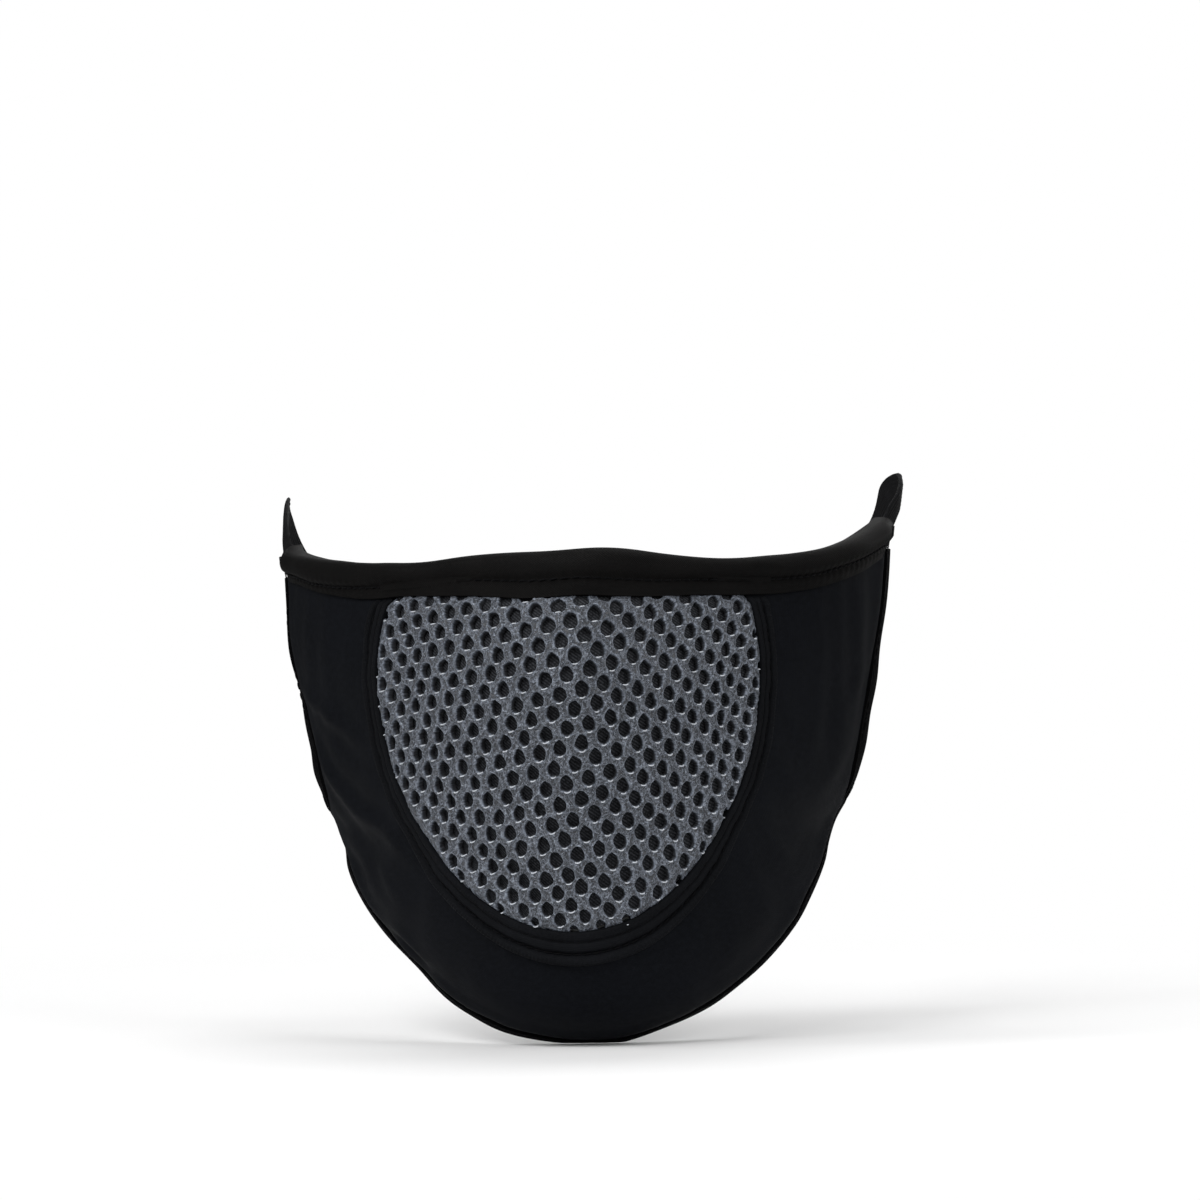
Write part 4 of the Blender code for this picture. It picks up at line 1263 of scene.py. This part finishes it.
def ripple(p, q, seed, size):
    """Crinkle of the yarn: band-limited noise of the cloth coordinates."""
    rng = np.random.default_rng(seed)
    made = np.zeros_like(p)
    for _ in range(22):
        ang, k = rng.uniform(0, 2 * np.pi), 2 * np.pi / (size * rng.uniform(0.6, 1.6))
        made += np.sin((p * np.cos(ang) + q * np.sin(ang)) * k + rng.uniform(0, 6.28))
    return made / math.sqrt(22.0)


def hole_shape(theta, w, h, point):
    """Outline of a hole about its centre: an egg with a pointed top and a flat foot."""
    c, s = np.cos(theta), np.sin(theta)
    y = np.where(s > 0, s, np.sign(s) * np.abs(s) ** 0.82 * 0.93)
    x = c * (1.0 - point * np.clip(s, 0, 1) ** 2) * (1.0 + 0.05 * np.clip(-s, 0, 1))
    return np.stack([x * w, y * h], -1)


SIDE_STEPS = 5
RINGS = (0.0, 0.10, 0.26, 0.5, 0.75, 1.0)
RIM = (0.8, 1.0, 0.6, 0.15, 0.0, 0.0)
WEB = (0.0, 0.0, 0.2, 0.6, 0.9, 1.0)


def below_top(u, v):
    """Distance below the top edge line, in mm."""
    across, up, _ = slopes(u, np.ones_like(u))
    return (1.0 - v) * np.linalg.norm(np.cross(up, unit(across)), axis=1)


def mesh_top(u, v, seam_gap):
    """Outer face of the air mesh: pinched down into the seam and under the top binding."""
    top = MESH_PINCH - 0.1 + (MESH[1] - MESH_PINCH + 0.1) * np.sqrt(np.clip(seam_gap / 2.6, 0, 1))
    return top - 1.35 * (1 - ease((below_top(u, v) + top_line(u)[2] + 1.2) / 4.0))


def air_mesh():
    rng = np.random.default_rng(5)
    corners = hexagon() @ np.linalg.inv(np.array([V1, V3]))
    edge = np.concatenate(
        [corners[k] + (corners[(k + 1) % 6] - corners[k]) * (np.arange(SIDE_STEPS) / SIDE_STEPS)[:, None] for k in range(6)]
    )
    m = len(edge)
    index = np.array([(i, j) for i in range(-20, 21) for j in range(-18, 19)], float)
    centres = lattice(index)
    use = (np.abs(centres[:, 0]) < 66) & (centres[:, 1] > -62) & (centres[:, 1] < 52)
    index, centres = index[use], centres[use]
    depth, _ = to_outline(centres)
    rim, _ = to_outline(centres, SEAM_POINTS)
    from_seam = np.abs(rim)
    use = depth > -3.4
    index, centres, depth, from_seam = index[use], centres[use], depth[use], from_seam[use]
    pts, hole_wall_shade, rims, webs, faces, n = [], [], [], [], [], 0
    bars = []
    for ij, c, inside, gap in zip(index, centres, depth, from_seam):
        border = lattice(ij + edge) - c
        theta0 = np.arctan2(border[:, 1], border[:, 0])
        after = np.roll(border, -1, axis=0)
        spread = math.sqrt(abs((border[:, 0] * after[:, 1] - border[:, 1] * after[:, 0]).sum()) / 2 / 23.25)
        size = np.clip((min(inside, 9) - 0.2) / 2.6, 0, 1) if gap < 5 else (1.0 if inside > -1.2 else 0.0)
        lean = math.radians(8.0 - 0.25 * c[0] * (c[0] > 0) + rng.normal(0, 3.5))
        w = (1.60 + 0.14 * ease(c[1] / 25.0)) * spread * rng.normal(1, 0.035) * (0.55 + 0.45 * size)
        h = 2.06 * spread * rng.normal(1, 0.035) * (0.5 + 0.5 * size)
        point = rng.uniform(0.2, 0.42)
        shift = rng.normal(0, 0.11, 2)
        solid = size < 0.22
        if solid:
            w, h = 0.35, 0.45
        theta = theta0 - lean
        shape = hole_shape(theta, w, h, point)
        rot = np.array([[math.cos(lean), math.sin(lean)], [-math.sin(lean), math.cos(lean)]])
        shape = shape @ rot
        ang = np.arange(m) * 2 * np.pi / m
        bump_ = 1.0 + 0.035 * np.sin(3 * ang + rng.uniform(0, 6.28)) + 0.03 * np.sin(5 * ang + rng.uniform(0, 6.28)) + rng.normal(0, 0.012, m)
        hole = shape * bump_[:, None] + shift
        rings = [c + hole * (1 - s) + border * s for s in RINGS]
        drop = [0.42, 0.10, 0.0, 0.0, 0.0, 0.0]
        block = [(r, -k, 0.0, a, b) for r, k, a, b in zip(rings, drop, RIM, WEB)]
        # the two sunken rings of each open hole carry the painted-shade mark (0.7 and 1.0), which darkens the hole
        # walls
        if solid:
            block.append((c + hole * 0.05, -0.3, 0.0, 0.0, 1.0))
        else:
            block.append((c + hole * 0.985, -0.75, 0.7, 0.0, 0.0))
            block.append((c + hole * 0.96, -1.7, 1.0, 0.0, 0.0))
        idx = n + np.arange(m * len(block)).reshape(len(block), m)
        for r, k, dk, a, b in block:
            pts.append(np.column_stack([r, np.full(m, k)]))
            hole_wall_shade.append(np.full(m, dk))
            rims.append(np.full(m, 0.0 if solid else a))
            webs.append(np.full(m, b))
        n += m * len(block)
        nx = np.roll(idx, -1, axis=1)
        for k in range(len(RINGS) - 1):
            faces.append(np.stack([idx[k], idx[k + 1], nx[k + 1], nx[k]], -1))
        last = 0
        for k in range(len(RINGS), len(block)):
            faces.append(np.stack([idx[k], idx[last], nx[last], nx[k]], -1))
            last = k
        if not solid and inside > 0.8:
            bars.append((c, hole, lean, rng.uniform(0.8, 1.1)))
    pts, hole_wall_shade, rims, webs = (np.concatenate(k) for k in (pts, hole_wall_shade, rims, webs))
    faces = np.concatenate(faces)
    pq, drop = pts[:, :2], pts[:, 2]
    signed, near = to_outline(pq)
    out = signed < 0
    pq = np.where(out[:, None], near, pq)
    seam_gap, _ = to_outline(pq, SEAM_POINTS)
    seam_gap = np.abs(seam_gap)
    u, v = FAB.to_face(pq[:, 0], pq[:, 1])
    top = mesh_top(u, v, seam_gap)
    crinkle = ripple(pq[:, 0], pq[:, 1], 3, 1.05) * 0.075 + ripple(pq[:, 0], pq[:, 1], 4, 9.0) * 0.16
    d = np.maximum(top + drop + crinkle * (drop > -0.9), MESH[0] - 0.1)
    # weld shared cell borders
    key = np.round(np.column_stack([pq, drop * 3.0]) / 2e-3).astype(np.int64)
    _, first, index = np.unique(key, axis=0, return_index=True, return_inverse=True)
    index = index.reshape(-1)
    faces = index[faces]
    keep = np.array([len(set(f)) == 4 for f in faces.tolist()])
    tri = [list(dict.fromkeys(f)) for f in faces[~keep].tolist()]
    tri = [f for f in tri if len(f) == 3]
    all_faces = faces[keep].tolist() + tri
    verts = lay(u[first], v[first], d[first])
    mesh = place("air_mesh_cloth", verts, all_faces, pq[first], MESH_M, cuts=70.0)
    for word, values in (("hole_wall_shade", hole_wall_shade), ("rim", rims), ("web", webs)):
        level = mesh.data.attributes.new(word, "FLOAT", "POINT")
        level.data.foreach_set("value", values[first].astype(np.float32))
    # yarn across the foot of each hole, coloured far lighter than the rest: partly its own grey, partly a painted
    # highlight
    yarn = Tubes(6)
    for c, hole, lean, length in bars:
        k = np.linspace(-0.75, 0.75, 8) * length
        low = hole[:, 1].min()
        x = k * 0.92 + 0.02
        y = low - 0.10 + 0.20 * (k / 0.8) ** 2 + 0.12 * k
        p = c + np.stack([x, y], 1)
        uu, vv = FAB.to_face(p[:, 0], p[:, 1])
        gap, _ = to_outline(p, SEAM_POINTS)
        if (below_top(uu, vv) < -top_line(uu)[2] + 1.2).any():
            continue
        lift = np.array([-0.35, 0.02, 0.12, 0.17, 0.17, 0.12, 0.02, -0.35])
        wave = ripple(p[:, 0], p[:, 1], 4, 9.0) * 0.16
        yarn.add(lay(uu, vv, mesh_top(uu, vv, np.abs(gap)) + lift + wave), 0.14)
    foot = yarn.place("air_mesh_foot_yarn", FOOT_YARN_GLINT_M)
    return mesh, foot


AIR, FOOT = air_mesh()
stand_in(AIR, "air_mesh", "mesh_panel")

# ------------------------------------------------------------------ covering tape and stitches
def seam_reach():
    t = np.linspace(0.5, 1.0, 400)
    u, v = seam_varied(t, tape_width(t))
    return t[v < above_top(u, -5.2)][-1]


REACH = seam_reach()
TAPE_PROFILE = (
    (0.00, 0.15), (0.03, 0.55), (0.14, 0.72), (0.24, 0.62), (0.30, 0.16), (0.36, 0.55), (0.46, 0.70),
    (0.55, 0.58), (0.61, -0.05), (0.68, -0.1), (0.74, 0.75), (0.84, 1.15), (0.93, 0.95), (1.00, 0.0),
)


def tape_at(a, b, c):
    t = REACH * (2.0 * a - 1.0)
    width = tape_width(t)
    out = 1.0 - b
    u, v = seam_varied_all(t, 0.1 + (width - 0.1) * out)
    along = ARC(t)
    ridge = through(np.array(TAPE_PROFILE), out)[:, 0]
    flat = width / SEAM_CHIN_WIDTH
    rungs = 0.10 * np.sin(along * 2 * np.pi / 0.72) * (np.exp(-(((out - 0.85) / 0.08) ** 2)) + 0.5 * np.exp(-(((out - 0.14) / 0.08) ** 2)))
    wave = 0.10 * np.sin(along * 0.9 + 1.3 * np.sin(along * 0.13)) * np.sin(out * np.pi)
    under = ease((below_top(u, v) + top_line(u)[2] + 0.6) / 2.6)
    d = TAPE[0] - 0.25 + (0.35 + (ridge * (0.75 + 0.25 * flat)) + rungs * flat + wave) * c * under - 0.25 * (1 - under)
    d = np.where(c > 0.5, np.maximum(d, TAPE[0] - 0.45), TAPE[0] - 0.7)
    return lay(u, v, d)


def seam_varied_all(t, w):
    """seam_varied for any order of t: the seam's own normals, then the offset."""
    u, v = seam(t, 0.0)
    k = np.linspace(-1.0, 1.0, len(SEAM_U))
    e = 0.004
    ua, va = seam(np.clip(t - e, -1, 1), 0.0)
    ub, vb = seam(np.clip(t + e, -1, 1), 0.0)
    tangent = unit(face(ub, vb) - face(ua, va))
    across, up, n = slopes(u, v)
    side = np.cross(tangent, n) * np.asarray(w, float).reshape(-1, 1)
    aa, bb = (across * across).sum(1), (up * up).sum(1)
    ab, sa, sb = (across * up).sum(1), (side * across).sum(1), (side * up).sum(1)
    det = aa * bb - ab * ab
    return u + (sa * bb - sb * ab) / det, v + (sb * aa - sa * ab) / det


ARC_T = np.linspace(-1, 1, 401)
ARC_P = face(*seam(ARC_T, 0.0))
ARC_L = np.concatenate([[0], np.cumsum(np.linalg.norm(np.diff(ARC_P, axis=0), axis=1))])


def ARC(t):
    return np.interp(t, ARC_T, ARC_L)


stand_in(sheet("seam_tape_cloth", 1500, 26, tape_at, TAPE_M), "seam_tape", "panel_seam_tape")

for name, node, share in (("seam_stitches_inner", "seam_thread_inner", 0.31), ("seam_stitches_outer", "seam_thread_outer", 0.645)):
    t = np.linspace(-REACH * 0.962, REACH * 0.962, 700)
    u, v = seam_varied_all(t, tape_width(t) * share)
    tubes = Tubes(6)
    stitched(tubes, lay(u, v, TAPE[0] + 0.32), slopes(u, v)[2], 2.3, 1.9, 0.17, slant=0.12, dip=0.28)
    stand_in(tubes.place(name, THREAD_M), "sewing_thread", node)


# ------------------------------------------------------------------ bindings
def top_binding_at(a, b, c):
    u0 = 2.0 * a - 1.0
    at, n = curved(TOP_SECTION, 1.0 - b)
    x = u0 * 112.0
    groove = np.exp(-(((at[:, 1] + 6.0) / 0.7) ** 2)) * (at[:, 0] > 2.0)
    pucker = 0.10 * np.sin(x * 2 * np.pi / 2.6) * np.exp(-(((at[:, 1] + 6.0) / 1.6) ** 2)) * (at[:, 0] > 2.0)
    bulge = (wobble(x, 21, 24.0, 0.28)) * np.exp(-(((at[:, 1] + 2.0) / 2.6) ** 2)) * (at[:, 0] > 1.0)
    thick = BINDING_THICK * (c - 0.5)
    d, h = (at + n * (-thick - c * (bulge + pucker) + c * groove * 0.45)[:, None]).T
    front = ease((at[:, 0] + 1.2) / 2.4)
    back_h = h + (top_line(u0)[0] - 0.7) * ease((h + 8.4) / 7.0)
    h = back_h + (top_shift(u0, h) - back_h) * front
    d = d - 0.33 * front * (1 - ease((h - top_line(u0)[2]) / 2.0))
    # over the nose wire the groove can't sink; at the two ends the tube is pressed flat
    wire_ = np.clip((53.0 - np.abs(x)) / 3.0, 0, 1) * front * ease((h + 6.2) / 0.8) * ease((-h) / 0.8)
    d = np.where(c > 0.5, np.maximum(d, 5.25 * wire_), np.maximum(d, 4.8 * wire_))
    d = d - END_FLAT * front * ease((np.abs(u0) - 0.90) / 0.09)
    h = h + wobble(x, 22, 38.0, 0.2) * front
    v = above_top(u0, h)
    return lay(u0 * past_edge(v, 1.0), v, d)


stand_in(sheet("top_binding_cloth", 460, 60, top_binding_at, TWILL_M), "binding_twill", "top_binding")
u0 = np.linspace(-0.955, 0.955, 500)
x = u0 * 112.0
v = above_top(u0, top_shift(u0, np.full_like(u0, -6.05)) + wobble(x, 22, 38.0, 0.2))
tubes = Tubes(6)
stitched(tubes, lay(u0, v, 4.95), slopes(u0, v)[2], 2.6, 2.05, 0.19, slant=0.1)
stand_in(tubes.place("top_binding_stitches", THREAD_M), "sewing_thread", "top_binding_thread")

HEM_LOOK = ((-1.0, 3.6), (-1.0, 0.7), (0.2, -0.6), (2.6, -0.9), (4.7, -0.3), (5.1, 0.9), (4.7, 2.7))


def hem_at(a, b, c):
    u0 = 2.0 * a - 1.0
    at, n = curved(HEM_LOOK, b)
    x = u0 * 105.0
    roll = wobble(x, 31, 30.0, 0.2) * (at[:, 0] > 1.0)
    d, h = (at + n * ((c - 0.5) * BINDING_THICK * 0.9 + c * roll)[:, None]).T
    v = above_hem(u0, h)
    p = lay(u0 * past_edge(v, 1.0), v, d)
    p[:, 2] = np.maximum(p[:, 2], 0.02)
    return p


stand_in(sheet("hem_binding_cloth", 420, 44, hem_at, HEM_M), "binding_twill", "hem_binding")
u0 = np.linspace(-0.96, 0.96, 480)
v = above_hem(u0, 2.3)
p = lay(u0, v, 5.25)
p[:, 2] = np.maximum(p[:, 2], 0.4)
tubes = Tubes(6)
stitched(tubes, p, slopes(u0, v)[2], 2.7, 2.1, 0.17, slant=0.1)
stand_in(tubes.place("hem_stitches", THREAD_M), "sewing_thread", "hem_thread")


def mirrored(p, side):
    return p * np.array([side, 1.0, 1.0])


def lay_side(u, v, d, side):
    return lay(np.asarray(u) * side, v, d)


SIDE_LOW, SIDE_HIGH = 9.0, -8.0
SIDE_LOOK = SIDE_SECTION
for side, word in ((1, "left"), (-1, "right")):
    def side_at(a, b, c, side=side):
        at, n = curved(SIDE_LOOK, a)
        one = np.ones_like(b)
        low, high = above_hem(one, 3.0), above_top(one, -7.0)
        v = low + (high - low) * b
        y = b * 66.0
        roll = wobble(y, 41 + side, 26.0, 0.22) * (at[:, 0] > 1.0)
        d, s = (at + n * (-(c - 0.5) * BINDING_THICK * 0.95 - c * roll)[:, None]).T
        return lay_side(past_edge(v, s), v, d, side)

    stand_in(sheet(f"side_hem_cloth_{word}", 40, 150, side_at, HEM_M), "shell_knit", f"side_hem_{word}")
    one = np.ones(160)
    low, high = above_hem(one, 6.5), above_top(one, -10.5)
    v = low + (high - low) * np.linspace(0, 1, 160)
    u = past_edge(v, -4.3)
    tubes = Tubes(6)
    stitched(tubes, lay_side(u, v, np.full_like(v, 4.95), side), mirrored(slopes(u, v)[2], side), 2.7, 2.1, 0.17, slant=0.1)
    stand_in(tubes.place(f"side_hem_stitches_{word}", THREAD_M), "sewing_thread", f"side_hem_thread_{word}")

# ------------------------------------------------------------------ ear loops
MID = (STRAP_END[0] + STRAP_END[1]) / 2.0


def corner_point(s, h, d, top):
    u, v = at_corner(s, h, top)
    return laid(u, v, d)[0]


AXIS_HIGH = corner_point(HINGE_BEHIND, UPPER_ANCHOR, MID, True)
AXIS_LOW = corner_point(HINGE_BEHIND, LOWER_ANCHOR, MID, False)
AXIS = unit(AXIS_HIGH - AXIS_LOW)


def strap_end_place(top):
    """The strap's sewn end, between the layers: raked so that it runs on into the loop."""
    anchor, rake = (UPPER_ANCHOR, UPPER_RAKE) if top else (LOWER_ANCHOR, LOWER_RAKE)
    half = STRAP_WIDTH / 2.0 * math.sqrt(1.0 + rake * rake)
    reach = HINGE_BEHIND - HINGE_CLEAR

    def place(a, b, c):
        s = reach + (a - 1.0) * 9.5
        h = anchor + (s - HINGE_BEHIND) * rake + (2.0 * b - 1.0) * half
        h = np.minimum(h, -1.4) if top else np.maximum(h, 1.4)
        u, v = at_corner(s, h, top)
        return laid(u, v, STRAP_END[0] + (STRAP_END[1] - STRAP_END[0]) * c)

    return place


def strap_stations():
    """Middle line, width direction and half width of the loop, end to end."""
    behind = HINGE_BEHIND + HINGE_CLEAR
    first = corner_point(behind, UPPER_ANCHOR + HINGE_CLEAR * UPPER_RAKE, MID, True)
    last = corner_point(behind, LOWER_ANCHOR + HINGE_CLEAR * LOWER_RAKE, MID, False)
    path = [(x, y + SETBACK, z, twist) for x, y, z, twist in LOOP_PATH]
    rows = [(*first, 0.0), *path, (*last, 0.0)]
    table = np.column_stack([np.arange(len(rows)), np.array(rows, float)])
    t = np.linspace(0.0, len(rows) - 1.0, 4 * (len(rows) - 1) + 1)
    got = through(table, t)
    p, twist = got[:, :3], np.radians(got[:, 3])
    tangent = unit(np.gradient(p, t, axis=0))
    x_axis = np.broadcast_to(np.array([1.0, 0.0, 0.0]), p.shape)
    x_flat = unit(x_axis - (x_axis * tangent).sum(1)[:, None] * tangent)
    outward = unit(np.cross(x_axis, tangent))
    width = -np.sin(twist)[:, None] * x_flat + np.cos(twist)[:, None] * outward
    half = np.full(len(t), STRAP_WIDTH / 2.0)
    for end, sign, rake in ((0, 1.0, UPPER_RAKE), (-1, -1.0, LOWER_RAKE)):
        far = np.abs(t - t[end]) / 1.5
        k = (1.0 - ease(far))[:, None]
        width = unit(width * (1 - k) + AXIS * sign * k)
        half = half * (1.0 + k[:, 0] * (math.sqrt(1.0 + rake * rake) - 1.0))
    return t / t[-1], p, width, half, tangent


LOOP = strap_stations()


def loop_place(a, b, c):
    t, p, width, half, tangent = LOOP
    q = [np.stack([np.interp(a, t, m[:, i]) for i in range(3)], axis=1) for m in (p, width, tangent)]
    reach = np.interp(a, t, half)
    w = unit(q[1])
    n = unit(np.cross(w, q[2]))
    return q[0] + w * ((2.0 * b - 1.0) * reach)[:, None] - n * ((c - 0.5) * STRAP_THICK)[:, None]




# ------------------------------------------------------------------ the straps, sewn ends and all
def strap_grid(c, across_n):
    """Points of one face of the left strap, from its upper sewn end to its lower one."""
    rows = []
    for top in (True, False):
        a, b = both(14, across_n)
        b2 = b if top else 1.0 - b
        p = strap_end_place(top)(a, b2, np.full_like(a, c)).reshape(14, across_n, 3)
        rows.append(p if top else p[::-1])
    a, b = both(236, across_n)
    middle = loop_place(a, b, np.full_like(a, c)).reshape(236, across_n, 3)
    return np.concatenate([rows[0], middle, rows[1]])


RIBS = 9


def strap(side, word):
    nb = 55
    outer, inner = strap_grid(1.0, nb), strap_grid(0.0, nb)
    mid, half = (outer + inner) / 2, (outer - inner) / 2
    b = np.linspace(0, 1, nb)
    edge = np.clip(1.0 - np.abs(2 * b - 1) ** 14, 0.02, 1) ** 0.5
    rib = 0.86 + 0.14 * np.cos(b * RIBS * 2 * np.pi - math.pi)
    centre = mid.mean(axis=1)
    along = np.concatenate([[0], np.cumsum(np.linalg.norm(np.diff(centre, axis=0), axis=1))])
    picks = 1.0 + 0.035 * np.sin(along[:, None] * 2 * np.pi / 1.3 + np.floor(b * RIBS)[None] * 2.1)
    swell = (edge * rib)[None, :] * picks
    out = mid + half * swell[:, :, None]
    inn = mid - half * swell[:, :, None]
    uv = np.stack(np.broadcast_arrays(along[:, None], (b * STRAP_WIDTH)[None, :]), -1)
    flat = [warp(mirrored(k.reshape(-1, 3), side)).reshape(k.shape) for k in (out, inn)]
    verts, faces, uv = skins(flat[0], flat[1], uv)
    obj = place(f"elastic_strap_{word}", verts, faces, uv, ELASTIC_M, body=None, cuts=55.0)
    axis = mirrored(AXIS, side)
    middle = mirrored((AXIS_HIGH + AXIS_LOW) / 2.0, side)
    back = np.array([0.0, 1.0, 0.0])
    back = unit(back - (back @ axis) * axis)
    tuple((middle - back * 1.5) * MM)
    tuple((middle + back * 2.2) * MM)
    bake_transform(obj)
    stand_in(obj, "strap_elastic", f"ear_loop_{word}", f"strap_end_upper_{word}", f"strap_end_lower_{word}")


def bartack(side, word, top):
    """A close zigzag of thread over the sewn strap end."""
    tubes = Tubes(6)
    count = 15
    k = np.arange(count * 2 + 1)
    zig = np.where(k % 2 == 0, 0.0, 1.0)
    share = k / k[-1]
    fine = np.linspace(0, k[-1], len(k) * 4)
    zig, share = np.interp(fine, k, zig), np.interp(fine, k, share)
    s = -4.3 + 1.9 * zig
    if top:
        h = -7.4 + 6.2 * share
        d = top_depth(np.full_like(h, 0.94), h) - 0.02
    else:
        h = 4.6 + 8.0 * share
        d = np.full_like(h, SHELL[1] + 0.55)
        d = d + 1.0 * np.exp(-(((h - 5.2) / 3.0) ** 2))
    u, v = at_corner(s, h, top)
    lift = 0.12 * np.sin(np.pi * zig)
    tubes.add(lay_side(u, v, d + lift, side), 0.16, mirrored(slopes(u, v)[2], side))
    end = "upper" if top else "lower"
    stand_in(tubes.place(f"bartack_stitches_{end}_{word}", THREAD_M), "sewing_thread", f"bartack_{end}_{word}")


for side, word in ((1, "left"), (-1, "right")):
    strap(side, word)
    bartack(side, word, True)
    bartack(side, word, False)


# ------------------------------------------------------------------ stage, light and camera
def plain(name, colour, rough):
    m = bpy.data.materials.new(name)
    m.use_nodes = True
    s = m.node_tree.nodes["Principled BSDF"]
    s.inputs["Base Color"].default_value = (*colour, 1.0)
    s.inputs["Roughness"].default_value = rough
    s.inputs["Specular IOR Level"].default_value = 0.1
    return m


bm = bmesh.new()
bmesh.ops.create_circle(bm, cap_ends=True, segments=96, radius=9.0)
disc = bpy.data.meshes.new("floor")
bm.to_mesh(disc)
bm.free()
floor = bpy.data.objects.new("floor", disc)
floor.location = (0, 0, -0.0003)
disc.materials.append(plain("floor_pale", (0.86, 0.86, 0.86), 0.8))
ft = disc.materials[0].node_tree
place_ = ft.nodes.new("ShaderNodeNewGeometry")
far = ft.nodes.new("ShaderNodeVectorMath")
far.operation = "LENGTH"
ft.links.new(place_.outputs["Position"], far.inputs[0])
fade = ft.nodes.new("ShaderNodeMapRange")
fade.interpolation_type = "SMOOTHSTEP"
fade.inputs["From Min"].default_value, fade.inputs["From Max"].default_value = 0.10, 0.42
ft.links.new(far.outputs["Value"], fade.inputs["Value"])
glow, mixed = ft.nodes.new("ShaderNodeEmission"), ft.nodes.new("ShaderNodeMixShader")
ft.links.new(fade.outputs["Result"], mixed.inputs[0])
ft.links.new(ft.nodes["Principled BSDF"].outputs[0], mixed.inputs[1])
ft.links.new(glow.outputs[0], mixed.inputs[2])
ft.links.new(mixed.outputs[0], ft.nodes["Material Output"].inputs["Surface"])
seen = ft.nodes.new("ShaderNodeLightPath")
dim = ft.nodes.new("ShaderNodeMapRange")
dim.inputs["To Min"].default_value, dim.inputs["To Max"].default_value = 0.25, 1.0
ft.links.new(seen.outputs["Is Camera Ray"], dim.inputs["Value"])
ft.links.new(dim.outputs["Result"], glow.inputs["Strength"])
bpy.context.scene.collection.objects.link(floor)

world = bpy.data.worlds.new("studio")
world.use_nodes = True
bpy.context.scene.world = world
wt = world.node_tree
back = wt.nodes["Background"]
paths = wt.nodes.new("ShaderNodeLightPath")
level = wt.nodes.new("ShaderNodeMapRange")
level.inputs["To Min"].default_value = 0.42
level.inputs["To Max"].default_value = 1.0
wt.links.new(paths.outputs["Is Camera Ray"], level.inputs["Value"])
back.inputs["Color"].default_value = (1.0, 1.0, 1.0, 1.0)
wt.links.new(level.outputs["Result"], back.inputs["Strength"])
# softer from the sides and the back than from the front
towards = wt.nodes.new("ShaderNodeTexCoord")
parts_ = wt.nodes.new("ShaderNodeSeparateXYZ")
wt.links.new(towards.outputs["Generated"], parts_.inputs[0])
front_ = wt.nodes.new("ShaderNodeMapRange")
front_.interpolation_type = "SMOOTHSTEP"
front_.inputs["From Min"].default_value, front_.inputs["From Max"].default_value = 0.15, -0.85
front_.inputs["To Min"].default_value, front_.inputs["To Max"].default_value = 0.10, 0.60
wt.links.new(parts_.outputs[1], front_.inputs["Value"])
wt.links.new(front_.outputs["Result"], level.inputs["To Min"])


def area(name, at, target, size, power, colour=(1, 1, 1)):
    data = bpy.data.lights.new(name, "AREA")
    data.shape = "RECTANGLE"
    data.size, data.size_y = size
    data.energy, data.color = power, colour
    lamp = bpy.data.objects.new(name, data)
    lamp.location = at
    lamp.rotation_mode = "QUATERNION"
    lamp.rotation_quaternion = (Vector(target) - Vector(at)).to_track_quat("-Z", "Y")
    bpy.context.scene.collection.objects.link(lamp)


middle = (0.0, 0.0, 0.07)
area("key", (-0.55, -0.95, 0.95), middle, (0.7, 0.7), 11.0)
area("fill", (0.85, -0.75, 0.55), middle, (0.6, 0.9), 5.8)
area("edge_right", (0.75, 0.15, 0.35), middle, (0.25, 0.9), 0.9)
area("edge_left", (-0.85, -0.22, 0.32), middle, (0.25, 0.9), 3.6)
area("top", (0.0, 0.35, 1.1), middle, (0.9, 0.5), 5.0)
area("back", (0.25, 1.15, 0.55), middle, (1.2, 0.8), 4.0)

AZ, EL, ROLL = math.radians(2.45), math.radians(-0.4), math.radians(-1.08)
toward = np.array([math.sin(AZ) * math.cos(EL), -math.cos(AZ) * math.cos(EL), math.sin(EL)])
right = unit(np.cross(-toward, [0, 0, 1.0]))
up = np.cross(right, -toward)
right, up = right * math.cos(ROLL) + up * math.sin(ROLL), -right * math.sin(ROLL) + up * math.cos(ROLL)
eye = np.array([3.04, SETBACK, 105.46]) * MM + 1.25 * toward
camera = bpy.data.cameras.new("camera")
camera.sensor_width, camera.lens = 36.0, 149.4
camera.clip_start, camera.clip_end = 0.05, 50.0
cam = bpy.data.objects.new("camera", camera)
cam.matrix_world = Matrix(
    [[right[i], up[i], toward[i], eye[i]] for i in range(3)] + [[0, 0, 0, 1]]
)
bpy.context.scene.collection.objects.link(cam)
bpy.context.scene.camera = cam
bpy.context.scene.view_settings.view_transform = "Standard"

bpy.context.view_layer.update()
